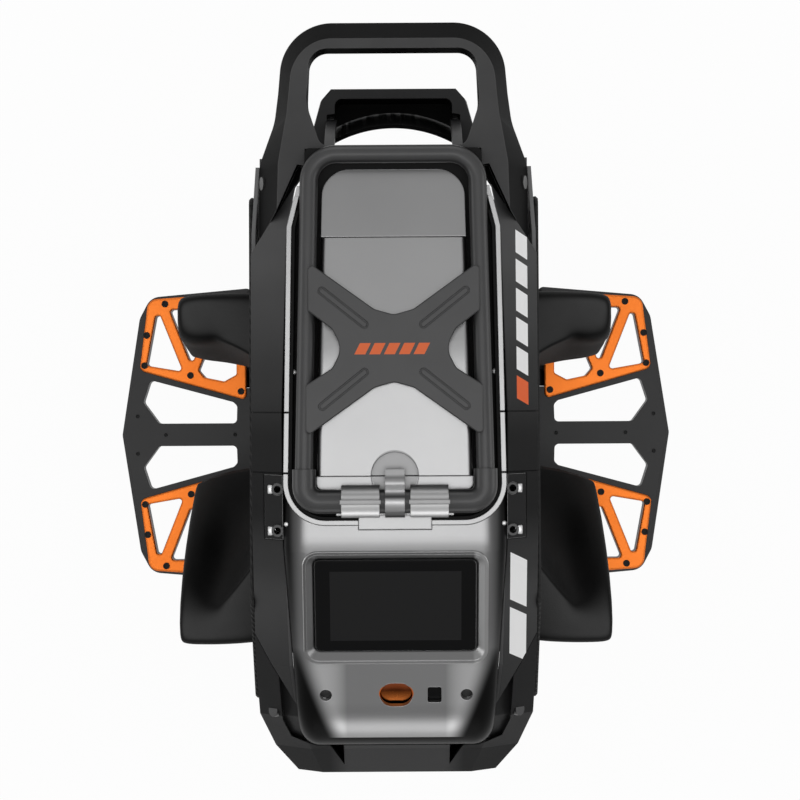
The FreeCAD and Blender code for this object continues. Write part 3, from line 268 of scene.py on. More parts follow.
def finish(name, colour, pale, rough, grain, depth, edge, metallic=0.0, edge_wear_and_light=0.25, edge_wear_and_light_colour=None, dust_and_top_light=None,
           gloss=0.5, flat=0.45):
    # A moulded, cast or painted finish: cloudy tone, fine grain, and softened edges tinted towards an edge
    # colour that is partly real wear and partly a painted edge highlight, a painted edge shade where that
    # colour is dark; and settled dust on what lies flat, which also paints top light on faces that look up.
    paint = bpy.data.materials.new(name)
    paint.use_nodes = True
    tree = paint.node_tree
    shader = tree.nodes["Principled BSDF"]
    shader.inputs["Metallic"].default_value = metallic
    shader.inputs["Specular IOR Level"].default_value = gloss
    texture = use_group(tree, grain_group, "Size", grain)
    edges = use_group(tree, edge_group, "Width", edge)
    tone = tint(tree, texture["Cloud"], colour, pale)
    if dust_and_top_light:
        tone = tint(tree, use_group(tree, dust_and_top_light_group, "From", flat)["Dust_and_top_light"], tone, dust_and_top_light)
    # Edge tone: real wear, and also a painted highlight along the edges, a painted shade where the edge
    # colour is dark.
    rubbed_and_lit_edge = maths(tree, "MULTIPLY", edges["Edge"], texture["Height"])
    rubbed_and_lit_edge = maths(tree, "MULTIPLY", rubbed_and_lit_edge, edge_wear_and_light)
    edge_colour = edge_wear_and_light_colour or tuple(min(1.0, 1.8 * c + 0.03) for c in pale)
    tree.links.new(tint(tree, rubbed_and_lit_edge, tone, edge_colour), shader.inputs["Base Color"])
    tree.links.new(spread(tree, texture["Height"], 0.3, 0.7, rough - 0.04, rough + 0.05),
                   shader.inputs["Roughness"])
    relief = tree.nodes.new("ShaderNodeBump")
    relief.inputs["Strength"].default_value = 0.6
    relief.inputs["Distance"].default_value = depth
    tree.links.new(texture["Height"], relief.inputs["Height"])
    tree.links.new(edges["Normal"], relief.inputs["Normal"])
    tree.links.new(relief.outputs["Normal"], shader.inputs["Normal"])
    return paint


def paint_nodes(paint, *names):
    # One finish in every material slot of these CAD nodes.
    for name in names:
        for slot in nodes[name].material_slots:
            slot.material = paint


tyre_rubber = finish("tyre_rubber", (0.02, 0.02, 0.021), (0.034, 0.033, 0.032),
                     rough=0.62, grain=0.0012, depth=0.00012, edge=0.0008)
# The black anodising's dust also paints top light on what faces up.
black_anodised = finish("black_anodised", (0.008, 0.008, 0.0085), (0.012, 0.012, 0.0125),
                        rough=0.36, grain=0.0005, depth=0.00003, edge=0.0006,
                        dust_and_top_light=(0.036, 0.036, 0.0365), gloss=0.2)
turned_steel = finish("turned_steel", (0.42, 0.42, 0.43), (0.5, 0.5, 0.5),
                      rough=0.24, grain=0.0006, depth=0.00002, edge=0.0004, metallic=1.0)
black_steel = finish("black_steel", (0.014, 0.014, 0.015), (0.03, 0.03, 0.03),
                     rough=0.32, grain=0.0005, depth=0.00003, edge=0.0004)
magnet_plate = finish("magnet_plate", (0.5, 0.5, 0.52), (0.6, 0.6, 0.6),
                      rough=0.3, grain=0.0008, depth=0.00002, edge=0.0004, metallic=1.0)
paint_nodes(tyre_rubber, "tyre")
paint_nodes(black_anodised, "rim", "motor_covers")
paint_nodes(black_steel, "cover_bolts", "valve_stem")
paint_nodes(turned_steel, "axle_bearings")
paint_nodes(magnet_plate, "magnet_ring")

# Axle, stator and windings: a turned steel axle, a stack of steel plates and enamelled copper.
# The yokes are forged alloy, the stanchions are ground and hard chromed.
core_plates = finish("core_plates", (0.16, 0.16, 0.17), (0.22, 0.22, 0.22),
                     rough=0.45, grain=0.0004, depth=0.00003, edge=0.0003, metallic=1.0)
wound_copper = finish("wound_copper", (0.62, 0.25, 0.1), (0.75, 0.36, 0.16),
                      rough=0.3, grain=0.0011, depth=0.0004, edge=0.0004, metallic=1.0)
paint_nodes(turned_steel, "axle", "axle_nuts", "stanchions")
paint_nodes(core_plates, "stator")
paint_nodes(wound_copper, "stator_windings")
paint_nodes(black_anodised, "axle_yokes", "fork_tubes")

# Main frame and pedal hangers: cast and machined alloy, black anodised, which carry everything else.
# The hangers are bolted under the frame, and ground steel pins through their ears hold the pedals.
paint_nodes(black_anodised, "main_frame", "pedal_hangers")
paint_nodes(turned_steel, "pedal_pins")

# Battery packs in dark shrink film on both sides of the wheel arch, inside the body.
# The lacquered control board is screwed to a heat sink of plain cast alloy.
shrink_film = finish("shrink_film", (0.012, 0.014, 0.02), (0.017, 0.02, 0.028),
                     rough=0.3, grain=0.004, depth=0.0003, edge=0.0012)
board_lacquer = finish("board_lacquer", (0.012, 0.1, 0.045), (0.02, 0.15, 0.06),
                       rough=0.35, grain=0.002, depth=0.0002, edge=0.0003)
plain_alloy = finish("plain_alloy", (0.55, 0.55, 0.56), (0.66, 0.66, 0.66),
                     rough=0.35, grain=0.0008, depth=0.00003, edge=0.0005, metallic=1.0)
paint_nodes(shrink_film, "battery_packs")
paint_nodes(board_lacquer, "control_board")
paint_nodes(plain_alloy, "heat_sink")

# Body shell: side panels, shoulder plates, rear cover, bumper, handle and tail moulded in filled
# black plastic with a fine satin texture and bolted to the frame; their edges catch a thin line of light,
# partly from the rounded shading and partly a painted edge highlight. Their dust also paints top light.
satin = {"rough": 0.42, "grain": 0.0005, "depth": 0.00004}
shell_dark = (0.009, 0.009, 0.0092)
shell_pale = (0.013, 0.013, 0.0133)
shell_dust_and_top_light = (0.1, 0.1, 0.101)
shell_edge = 0.0012
satin_black = finish("satin_black", shell_dark, shell_pale, **satin, edge=shell_edge,
                     dust_and_top_light=shell_dust_and_top_light, gloss=0.1)
# The handle's pale edge tone paints highlight lines along its edges, and its dust paints top light on its
# flat top only.
handle_black = finish("handle_black", (0.006, 0.006, 0.0061), (0.009, 0.009, 0.0091), **satin, edge=0.0016,
                      edge_wear_and_light=0.9, edge_wear_and_light_colour=(0.16, 0.16, 0.16), dust_and_top_light=(0.078, 0.078, 0.0785), gloss=0.006, flat=0.8)
tail_black = finish("tail_black", (0.007, 0.007, 0.0071), (0.01, 0.01, 0.0101), **satin, edge=shell_edge,
                    dust_and_top_light=(0.036, 0.036, 0.0365), gloss=0.04)
bumper_black = finish("bumper_black", (0.011, 0.011, 0.0112), (0.015, 0.015, 0.0152), **satin,
                      edge=shell_edge, dust_and_top_light=(0.05, 0.05, 0.0505), gloss=0.02)
deep_black = finish("deep_black", (0.003, 0.003, 0.003), (0.005, 0.005, 0.005),
                    rough=0.45, grain=0.0005, depth=0.00004, edge=0.0008,
                    dust_and_top_light=(0.012, 0.012, 0.012), gloss=0.06)
# The accessory plates' strong pale edge tone paints a highlight line along their edges.
plate_black = finish("plate_black", (0.008, 0.008, 0.0082), (0.011, 0.011, 0.0112), **satin, edge=0.0009,
                     edge_wear_and_light=1.6, edge_wear_and_light_colour=(0.4, 0.4, 0.4), dust_and_top_light=(0.08, 0.08, 0.081), gloss=0.03)


def object_place(tree):
    # The X, Y and Z of a point of a piece, in metres.
    spot = tree.nodes.new("ShaderNodeTexCoord")
    place = tree.nodes.new("ShaderNodeSeparateXYZ")
    tree.links.new(spot.outputs["Object"], place.inputs["Vector"])
    return place.outputs


def recolour(paint, share, colour):
    # Lays a colour over a finish, as thick as the share says.
    tree = paint.node_tree
    base = tree.nodes["Principled BSDF"].inputs["Base Color"]
    tree.links.new(tint(tree, share, base.links[0].from_socket, colour), base)


def stripes(tree, along, across, first, last, inner, outer, pitch, filled, slant):
    # A mask of slanted bars between two places along one axis and two across it, in metres.
    run = maths(tree, "ADD", along, maths(tree, "MULTIPLY", across, slant))
    run = maths(tree, "SUBTRACT", run, first + slant * inner)
    bar = maths(tree, "LESS_THAN", maths(tree, "FRACT", maths(tree, "DIVIDE", run, pitch)), filled)
    for value, low, high in ((run, 0.0, last - first), (across, inner, outer)):
        bar = maths(tree, "MULTIPLY", bar, maths(tree, "GREATER_THAN", value, low))
        bar = maths(tree, "MULTIPLY", bar, maths(tree, "LESS_THAN", value, high))
    return bar


def shade_along(paint, start, end, low, high, steps):
    # Scales a finish along Y between two places, to paint light and shade along it; each step is a share of
    # the way and of low to high.
    tree = paint.node_tree
    base = tree.nodes["Principled BSDF"].inputs["Base Color"]
    level = grey_ramp(tree, spread(tree, object_place(tree)["Y"], start, end), steps, "EASE")
    scaled = tree.nodes.new("ShaderNodeMix")
    scaled.data_type = "RGBA"
    scaled.blend_type = "MULTIPLY"
    scaled.inputs["Factor"].default_value = 1.0
    tree.links.new(base.links[0].from_socket, scaled.inputs["A"])
    tree.links.new(spread(tree, level, 0.0, 1.0, low, high), scaled.inputs["B"])
    tree.links.new(scaled.outputs["Result"], base)
    return level


def shoulder_painted_reflection(name):
    # The shell's black with painted reflection along Y: dull and dark beside the rider's legs, paler
    # towards the rear and over the dash, and glossier where paler.
    paint = finish(name, shell_dark, shell_pale, **satin, edge=shell_edge, dust_and_top_light=shell_dust_and_top_light)
    level = shade_along(paint, -0.2, 0.2, 0.5, 1.8, (
        (0.06, 0.25), (0.21, 0.55), (0.29, 0.3), (0.38, 0.0), (0.5, 0.03), (0.61, 0.33), (0.76, 0.75),
        (0.83, 1.0)))
    tree = paint.node_tree
    sheen = spread(tree, level, 0.0, 1.0, 0.03, 0.2)
    tree.links.new(sheen, tree.nodes["Principled BSDF"].inputs["Specular IOR Level"])
    return paint


# Painted reflection: the bumper's face is paler down its middle, fading out between 38 and 52 mm to each
# side.
tree = bumper_black.node_tree
from_middle = maths(tree, "ABSOLUTE", object_place(tree)["X"])
recolour(bumper_black, spread(tree, from_middle, 0.038, 0.052, 1.0, 0.0), (0.055, 0.055, 0.0555))
# The right shoulder has the same painted reflection along Y, under its printed bars.
striped_black = shoulder_painted_reflection("striped_black")
tree = striped_black.node_tree
place = object_place(tree)
axes = (tree, place["Y"], place["X"])
rear_row = {"inner": 0.0885, "outer": 0.0975, "pitch": 0.0212, "filled": 0.78, "slant": 0.55}
rear_bars = stripes(*axes, first=0.052, last=0.158, **rear_row)
end_bar = stripes(*axes, first=0.0308, last=0.0478, **rear_row)
front_bars = stripes(*axes, first=-0.157, last=-0.077, inner=0.0835, outer=0.0965, pitch=0.041,
                     filled=0.86, slant=0.55)
recolour(striped_black, maths(tree, "ADD", rear_bars, front_bars), (0.82, 0.82, 0.82))
recolour(striped_black, end_bar, (0.72, 0.12, 0.03))
paint_nodes(satin_black, "rear_cover", "vent_grille")
paint_nodes(tail_black, "tail_bracket")
paint_nodes(bumper_black, "front_bumper")
paint_nodes(handle_black, "carry_handle")
paint_nodes(deep_black, "handle_tray")
paint_nodes(plate_black, "accessory_plates")
paint_nodes(black_steel, "accessory_inserts", "body_bolts")
paint_nodes(shoulder_painted_reflection("shoulder_black"), "side_panel_left")
paint_nodes(striped_black, "side_panel_right")

# Lock tabs and small screws: bent steel tabs beside the threaded inserts, and domed screws that hold
# the dash corners and the tray, all bright zinc.
zinc = finish("zinc", (0.5, 0.5, 0.5), (0.6, 0.6, 0.6),
              rough=0.32, grain=0.0006, depth=0.00003, edge=0.0003, metallic=1.0)
both_sides = (-1, 1)


def take(piece):
    # Makes a piece the only one selected, and the active one.
    start_piece()
    piece.select_set(True)
    bpy.context.view_layer.objects.active = piece


def edit_all():
    bpy.ops.object.mode_set(mode="EDIT")
    bpy.ops.mesh.select_all(action="SELECT")


def pick_faces(piece, test):
    # Selects the faces of the active mesh that pass a test on normal and centre.
    bpy.ops.object.mode_set(mode="EDIT")
    bpy.ops.mesh.select_mode(type="FACE")
    bpy.ops.mesh.select_all(action="DESELECT")
    bpy.ops.object.mode_set(mode="OBJECT")
    for face in piece.data.polygons:
        face.select = test(face.normal, face.center)
    bpy.ops.object.mode_set(mode="EDIT")


def settle(piece, name, body, paint):
    # Names a finished piece, puts its place into its mesh, and gives it its finish and body.
    piece.name = name
    bpy.ops.object.mode_set(mode="OBJECT")
    bpy.ops.object.transform_apply(location=True, rotation=True, scale=True)
    bpy.ops.object.shade_smooth_by_angle(angle=math.radians(35))
    piece.data.materials.clear()
    piece.data.materials.append(paint)
    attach(piece, body)


def spread_copies(piece, places):
    # Copies of a piece drawn at the origin, set at each place and joined into one mesh.
    copies = []
    for place in places:
        take(piece)
        bpy.ops.object.duplicate()
        copies.append(bpy.context.object)
        copies[-1].location = place
        bpy.ops.object.transform_apply(location=True, rotation=False, scale=False)
    bpy.data.objects.remove(piece)
    start_piece()
    for copy in copies:
        copy.select_set(True)
    bpy.context.view_layer.objects.active = copies[0]
    bpy.ops.object.join()
    return bpy.context.object


def domed_screw(radius, height, sink):
    # A round head with a rolled rim and a socket, standing on z = 0 with a shank below it.
    start_piece()
    bpy.ops.mesh.primitive_cylinder_add(vertices=24, radius=radius, depth=height + sink,
                                        location=(0.0, 0.0, (height - sink) / 2))
    screw = bpy.context.object
    bpy.ops.object.transform_apply(location=True, rotation=False, scale=False)
    pick_faces(screw, lambda n, c: n.z > 0.9)
    bpy.ops.mesh.inset(thickness=radius * 0.3, depth=height * 0.3)
    bpy.ops.mesh.inset(thickness=radius * 0.22, depth=0.0)
    bpy.ops.mesh.inset(thickness=radius * 0.03, depth=-height * 0.5)
    bpy.ops.object.mode_set(mode="OBJECT")
    return screw


def rounded_block(size, bevel):
    # A block round the origin with its edges rolled over.
    start_piece()
    bpy.ops.mesh.primitive_cube_add(size=1.0)
    block = bpy.context.object
    block.scale = size
    bpy.ops.object.transform_apply(location=True, rotation=True, scale=True)
    edit_all()
    bpy.ops.mesh.bevel(offset=bevel, segments=2)
    bpy.ops.object.mode_set(mode="OBJECT")
    return block


dash_screws = spread_copies(domed_screw(radius=0.0016, height=0.001, sink=0.004),
                            [(side * 0.0782, -0.0588, 0.6428) for side in both_sides])
settle(dash_screws, "dash_screws", "chassis", zinc)
tray_screws = spread_copies(domed_screw(radius=0.0019, height=0.0012, sink=0.001),
                            [(side * 0.0722, 0.0505, 0.6362) for side in both_sides])
settle(tray_screws, "tray_screws", "chassis", zinc)
lock_tabs = spread_copies(rounded_block((0.0034, 0.0064, 0.008), bevel=0.0005),
                          [(side * 0.0902, y, 0.6305) for side in both_sides for y in (-0.034, -0.064)])
settle(lock_tabs, "lock_tabs", "chassis", zinc)

# Leg pads: closed-cell foam wings moulded in one piece with a leathery skin, stuck and strapped to the
# side pads. The face that the leg leans on is scooped; the rims are round and full.
# The foam's dust also paints top light, paler on the faces that look up.
pad_foam = finish("pad_foam", (0.0055, 0.0055, 0.0055), (0.0095, 0.0095, 0.0095),
                  rough=0.5, grain=0.0011, depth=0.00022, edge=0.002,
                  dust_and_top_light=(0.06, 0.06, 0.06), gloss=0.03, flat=0.6)


def apply_modifier(piece, kind, **settings):
    modifier = piece.modifiers.new(kind.lower(), kind)
    for label, value in settings.items():
        setattr(modifier, label, value)
    bpy.context.view_layer.objects.active = piece
    bpy.ops.object.modifier_apply(modifier=modifier.name)


def foam_pads(piece_name, node_name, ridge, sections):
    # A mirrored pair of pads drawn through (x, [(y, z), ...]) outlines in millimetres, from root to tip.
    # The outline point number "ridge" is a crease that fades out towards the tip.
    count = len(sections[0][1])
    points = []
    faces = []
    for side in (1, -1):
        first = len(points)
        for x, outline in sections:
            points += [(side * x / 1000, y / 1000, z / 1000) for y, z in outline]
        rings = [[first + row * count + i for i in range(count)] for row in range(len(sections))]
        around = [rings[0][::-1], rings[-1]]
        for near, far in zip(rings, rings[1:]):
            around += [(near[i], near[i - count + 1], far[i - count + 1], far[i]) for i in range(count)]
        faces += [tuple(f) if side == 1 else tuple(f)[::-1] for f in around]
    mesh = bpy.data.meshes.new(piece_name)
    mesh.from_pydata(points, [], faces)
    pads = bpy.data.objects.new(piece_name, mesh)
    scene.collection.objects.link(pads)
    take(pads)
    edit_all()
    bpy.ops.mesh.normals_make_consistent(inside=False)
    bpy.ops.object.mode_set(mode="OBJECT")
    crease = mesh.attributes.new("crease_edge", "FLOAT", "EDGE")
    root = sections[0][0] / 1000 + 0.0005
    reach = sections[-1][0] / 1000 - root
    for edge in mesh.edges:
        outs = [abs(mesh.vertices[i].co.x) for i in edge.vertices]
        rows = {i % count for i in edge.vertices}
        if max(outs) < root:
            crease.data[edge.index].value = 1.0
        elif rows <= {0, count - 1}:
            crease.data[edge.index].value = 0.8
        elif rows == {ridge}:
            crease.data[edge.index].value = max(0.0, 0.9 - 1.5 * (min(outs) - root) / reach)
    apply_modifier(pads, "SUBSURF", levels=3, render_levels=3)
    bpy.ops.object.shade_smooth()
    mesh.materials.append(pad_foam)
    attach(pads, "chassis")
    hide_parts(node_name)


foam_pads("leg_pads_front", "front_leg_pads", 4, [
    (108, [(-24, 332), (-56, 376), (-78, 428), (-89, 474), (-94, 508), (-126, 510),
           (-154, 508), (-161, 487), (-139, 434), (-115, 384), (-92, 332)]),
    (122, [(-24, 332), (-60, 374), (-88, 424), (-104, 470), (-113, 507), (-136, 510),
           (-156, 508), (-162, 487), (-139, 434), (-114, 384), (-90, 332)]),
    (138, [(-27, 332), (-60, 374), (-91, 422), (-113, 466), (-131, 504), (-146, 510),
           (-157, 507), (-162, 487), (-138, 434), (-112, 384), (-88, 332)]),
    (154, [(-32, 332), (-54, 380), (-80, 432), (-107, 476), (-132, 504), (-147, 509),
           (-157, 506), (-162, 486), (-137, 434), (-110, 384), (-86, 332)]),
    (166, [(-38, 332), (-56, 384), (-80, 436), (-106, 478), (-131, 503), (-147, 507),
           (-157, 504), (-161, 485), (-135, 434), (-108, 384), (-84, 332)]),
    (169, [(-48, 340), (-64, 386), (-88, 436), (-111, 473), (-133, 495), (-145, 499),
           (-153, 495), (-155, 481), (-131, 434), (-105, 388), (-82, 342)])])
foam_pads("leg_pads_rear", "rear_leg_pads", 3, [
    (108, [(55, 372), (56, 410), (58, 455), (63, 500), (84, 507),
           (106, 507), (118, 490), (108, 440), (92, 372)]),
    (122, [(58, 372), (61, 410), (66, 455), (72, 499), (90, 506),
           (108, 507), (118, 489), (107, 440), (91, 372)]),
    (138, [(61, 372), (66, 410), (74, 455), (78, 498), (96, 505),
           (109, 506), (117, 488), (106, 440), (90, 372)]),
    (154, [(63, 372), (67, 410), (73, 455), (72, 497), (94, 505),
           (109, 506), (116, 488), (105, 440), (90, 372)]),
    (166, [(66, 374), (69, 410), (75, 453), (76, 494), (94, 503),
           (107, 504), (114, 487), (104, 440), (89, 374)]),
    (170, [(72, 384), (75, 414), (80, 450), (82, 484), (94, 491),
           (103, 492), (108, 480), (100, 440), (85, 386)])])

# Side pads: thin moulded rubber sheets with a raised rim and a field of slanted ribs.
# They are glued to the side walls, and the leg pads stand on them.
rib_rubber = finish("rib_rubber", (0.014, 0.014, 0.014), (0.02, 0.02, 0.02),
                    rough=0.55, grain=0.0009, depth=0.00012, edge=0.001, gloss=0.1)
pad_face = 0.1072
pad_rim = 0.005
field_depth = 0.0008


def copy_node(name):
    # A loose copy of a CAD node with its doubles merged, ready to be reshaped.
    take(nodes[name])
    bpy.ops.object.duplicate()
    piece = bpy.context.object
    if "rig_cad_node" in piece:
        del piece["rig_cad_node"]
    piece.data.materials.clear()
    edit_all()
    bpy.ops.mesh.remove_doubles(threshold=0.00001)
    bpy.ops.object.mode_set(mode="OBJECT")
    return piece


def press_ribs(paint, direction, scale, strength, depth):
    # Straight ribs over the grain of a finish.
    tree = paint.node_tree
    normal = tree.nodes["Principled BSDF"].inputs["Normal"]
    lines = tree.nodes.new("ShaderNodeTexWave")
    lines.bands_direction = direction
    lines.inputs["Scale"].default_value = scale
    spot = tree.nodes.new("ShaderNodeTexCoord")
    tree.links.new(spot.outputs["Object"], lines.inputs["Vector"])
    ribs = tree.nodes.new("ShaderNodeBump")
    ribs.inputs["Strength"].default_value = strength
    ribs.inputs["Distance"].default_value = depth
    tree.links.new(lines.outputs["Fac"], ribs.inputs["Height"])
    tree.links.new(normal.links[0].from_socket, ribs.inputs["Normal"])
    tree.links.new(ribs.outputs["Normal"], normal)


press_ribs(rib_rubber, "DIAGONAL", scale=90.0, strength=0.8, depth=0.0008)
side_pads = copy_node("side_pads")
side_pads.name = "side_pad_sheets"
edit_all()
bpy.ops.mesh.dissolve_limited(angle_limit=math.radians(2))
pick_faces(side_pads, lambda n, c: abs(n.x) > 0.99 and abs(c.x) > pad_face)
bpy.ops.mesh.inset(thickness=pad_rim, depth=0.0)
bpy.ops.mesh.inset(thickness=field_depth, depth=-field_depth)
bpy.ops.object.mode_set(mode="OBJECT")
side_pads.data.materials.append(rib_rubber)
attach(side_pads, "chassis")
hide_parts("side_pads")

# Dash cover, display tray and trim: pressed metal under satin silver paint, clipped and screwed to the
# shell. The dash has painted shade down its rounded sides and under its nose, and two painted highlight
# bands.
dash_paint = finish("dash_paint", (0.285, 0.285, 0.287), (0.305, 0.305, 0.307),
                    rough=0.32, grain=0.0003, depth=0.00002, edge=0.0008, metallic=1.0)
# The bezel's strong pale edge tone paints a highlight round its rim.
bezel_paint = finish("bezel_paint", (0.145, 0.145, 0.146), (0.16, 0.16, 0.161), rough=0.32, grain=0.0003,
                     depth=0.00002, edge=0.0012, metallic=1.0, edge_wear_and_light=1.6, edge_wear_and_light_colour=(0.75, 0.75, 0.75))
trim_silver = finish("trim_silver", (0.28, 0.28, 0.281), (0.31, 0.31, 0.311),
                     rough=0.3, grain=0.0003, depth=0.00002, edge=0.0006, metallic=1.0)
dark_side = (0.061, 0.0775)
narrows_from = -0.150
narrows_by = 0.38
lip_front = -0.2195
highlight_band_middle = 0.053
highlight_band_half = 0.017
button_y = -0.1843
button_slope = math.radians(32)
button_straight = 0.0052
button_collar = 0.0074


def distance(tree, first, second):
    # How far a point is, from its two distances along square axes.
    squares = [maths(tree, "MULTIPLY", value, value) for value in (first, second)]
    return maths(tree, "SQRT", maths(tree, "ADD", *squares))


tree = dash_paint.node_tree
shader = tree.nodes["Principled BSDF"]
place = object_place(tree)
aside = maths(tree, "ABSOLUTE", place["X"])
# Two painted highlight bands, one each side of the middle, towards the nose.
off_band = maths(tree, "DIVIDE", maths(tree, "SUBTRACT", aside, highlight_band_middle), highlight_band_half)
highlight_band = maths(tree, "SUBTRACT", 1.0, maths(tree, "MULTIPLY", off_band, off_band))
highlight_band = maths(tree, "MULTIPLY", maths(tree, "MAXIMUM", highlight_band, 0.0), spread(tree, place["Y"], -0.135, -0.165))
# Painted shade down the rounded sides, with the dark part widening towards the nose, and under the front
# lip.
narrowing = maths(tree, "MAXIMUM", maths(tree, "SUBTRACT", narrows_from, place["Y"]), 0.0)
off_middle = maths(tree, "ADD", aside, maths(tree, "MULTIPLY", narrowing, narrows_by))
sides = spread(tree, off_middle, *dark_side, kind="SMOOTHSTEP")
dark = maths(tree, "MAXIMUM", sides, maths(tree, "LESS_THAN", place["Y"], lip_front))
beyond = maths(tree, "MAXIMUM", maths(tree, "SUBTRACT", aside, button_straight), 0.0)
down = maths(tree, "DIVIDE", maths(tree, "SUBTRACT", place["Y"], button_y), math.cos(button_slope))
collar = maths(tree, "LESS_THAN", distance(tree, beyond, down), button_collar)
recolour(dash_paint, highlight_band, (0.58, 0.58, 0.583))
recolour(dash_paint, dark, (0.006, 0.006, 0.006))
recolour(dash_paint, collar, (0.75, 0.18, 0.03))
tree.links.new(maths(tree, "SUBTRACT", 1.0, dark), shader.inputs["Metallic"])
shader.inputs["Specular IOR Level"].default_value = 0.02
# Painted light on the bezel: its front wall and its right-hand wall are paler.
tree = bezel_paint.node_tree
place = object_place(tree)
recolour(bezel_paint, spread(tree, place["Y"], -0.1505, -0.153), (0.26, 0.26, 0.261))
recolour(bezel_paint, spread(tree, place["X"], 0.056, 0.058), (0.38, 0.38, 0.381))
paint_nodes(dash_paint, "dash_cover")
paint_nodes(bezel_paint, "display_bezel")
paint_nodes(trim_silver, "trim_strips")

# Hinge clamps and latch lever: cast alloy, tumbled and left silver, held on the hinge base by the bar.
# Their tone is painted along Y as painted reflection and shade: the clamps are darker along their seam and
# towards the rear, the lever in bands from joint to joint.
cast_silver = finish("cast_silver", (0.56, 0.56, 0.562), (0.62, 0.62, 0.622),
                     rough=0.4, grain=0.0004, depth=0.00004, edge=0.0008, metallic=1.0)
lever_silver = finish("lever_silver", (0.26, 0.26, 0.262), (0.29, 0.29, 0.292),
                      rough=0.36, grain=0.0004, depth=0.00004, edge=0.0008, metallic=1.0)
hinge_front = -0.054
shade_along(cast_silver, hinge_front, -0.030, 0.0, 1.25, (
    (0.1, 0.75), (0.2, 1.0), (0.38, 0.95), (0.46, 0.32), (0.57, 0.34), (0.66, 0.78), (0.75, 0.5),
    (0.86, 0.26)))
shade_along(lever_silver, hinge_front, -0.020, 0.0, 2.2, (
    (0.12, 0.12), (0.2, 0.75), (0.33, 0.7), (0.4, 0.4), (0.46, 0.1), (0.53, 0.35), (0.6, 1.0), (0.72, 0.85),
    (0.79, 0.35), (0.85, 0.22), (0.93, 0.5)))
paint_nodes(cast_silver, "hinge_clamps")
paint_nodes(lever_silver, "latch_lever")

# Nose corner seals: soft moulded rubber blocks, stuck between the lower corners of the dash and the
# bumper's arms to keep spray out.
seal_rubber = finish("seal_rubber", (0.01, 0.01, 0.01), (0.018, 0.018, 0.018),
                     rough=0.5, grain=0.0008, depth=0.00003, edge=0.0005)
nose_seals = spread_copies(rounded_block((0.014, 0.012, 0.010), bevel=0.0015),
                           [(side * 0.0695, -0.2265, 0.496) for side in both_sides])
settle(nose_seals, "nose_corner_seals", "chassis", seal_rubber)

# Vent studs: a row of moulded hexagons with sunk middles, in the shell's black plastic.
# They stand square on the round lip under the nose, over the grille.
nose_y = -0.135
nose_z = 0.531
nose_reach = 0.0928
stud_lean = math.radians(69)
stud_pitch = 0.0114
start_piece()
bpy.ops.mesh.primitive_cylinder_add(vertices=6, radius=0.0034, depth=0.0016,
                                    rotation=(0.0, 0.0, math.radians(30)))
stud = bpy.context.object
bpy.ops.object.transform_apply(location=True, rotation=True, scale=True)
pick_faces(stud, lambda n, c: n.z > 0.9)
bpy.ops.mesh.inset(thickness=0.0007, depth=0.0)
bpy.ops.mesh.inset(thickness=0.0003, depth=-0.0005)
bpy.ops.object.mode_set(mode="OBJECT")
stud.rotation_euler = (stud_lean, 0.0, 0.0)
bpy.ops.object.transform_apply(location=True, rotation=True, scale=True)
stud_y = nose_y - nose_reach * math.sin(stud_lean)
stud_z = nose_z + nose_reach * math.cos(stud_lean)
studs = spread_copies(stud, [(step * stud_pitch, stud_y, stud_z) for step in range(-4, 5)])
settle(studs, "vent_studs", "chassis", satin_black)

# Display and button: a tilted glass with a dark border over the switched-off panel, the sensor window,
# two moulded plugs, and the power button of orange anodised alloy with a dished top.
glass = {"rough": 0.1, "grain": 0.002, "depth": 0.000001, "edge": 0.0004, "gloss": 0.12}
black_glass = finish("black_glass", (0.003, 0.003, 0.0032), (0.004, 0.004, 0.0042), **glass)
screen_glass = finish("screen_glass", (0.0025, 0.0025, 0.0027), (0.0032, 0.0032, 0.0034), **glass)
matt_black = finish("matt_black", (0.012, 0.012, 0.012), (0.018, 0.018, 0.018),
                    rough=0.5, grain=0.0006, depth=0.00003, edge=0.0004)
button_orange = finish("button_orange", (0.3, 0.06, 0.008), (0.36, 0.075, 0.01), rough=0.24, grain=0.0004,
                       depth=0.00002, edge=0.0012, metallic=1.0, edge_wear_and_light=0.9, edge_wear_and_light_colour=(0.95, 0.3, 0.06))
screen_tilt = math.radians(19.5)
screen_centre = (0.0, -0.120, 0.6351)
screen_half = (0.0475, 0.0272)
tree = screen_glass.node_tree
spot = tree.nodes.new("ShaderNodeTexCoord")
level_screen = tree.nodes.new("ShaderNodeMapping")
level_screen.vector_type = "TEXTURE"
level_screen.inputs["Location"].default_value = screen_centre
level_screen.inputs["Rotation"].default_value = (screen_tilt, 0.0, 0.0)
tree.links.new(spot.outputs["Object"], level_screen.inputs["Vector"])
flat_place = tree.nodes.new("ShaderNodeSeparateXYZ")
tree.links.new(level_screen.outputs["Vector"], flat_place.inputs["Vector"])
inside = [maths(tree, "LESS_THAN", maths(tree, "ABSOLUTE", flat_place.outputs[axis]), half)
          for axis, half in zip("XY", screen_half)]
recolour(screen_glass, maths(tree, "MULTIPLY", *inside), (0.0145, 0.0145, 0.0148))
# Painted shade in the button's dish: dark at its upper, rear edge and bright orange towards its lower,
# front edge, laid over most of the button's own tone and its pale painted rim highlight.
tree = button_orange.node_tree
dish_shade_share = spread(tree, object_place(tree)["Y"], -0.1825, -0.1905)
dish_painted_shade = tint(tree, dish_shade_share, (0.08, 0.018, 0.005), (0.95, 0.27, 0.06))
recolour(button_orange, spread(tree, dish_shade_share, 0.0, 1.0, 0.95, 0.85), dish_painted_shade)
paint_nodes(screen_glass, "display_glass")
paint_nodes(black_glass, "sensor_window")
paint_nodes(matt_black, "display_module", "dash_plugs")
paint_nodes(button_orange, "power_button")

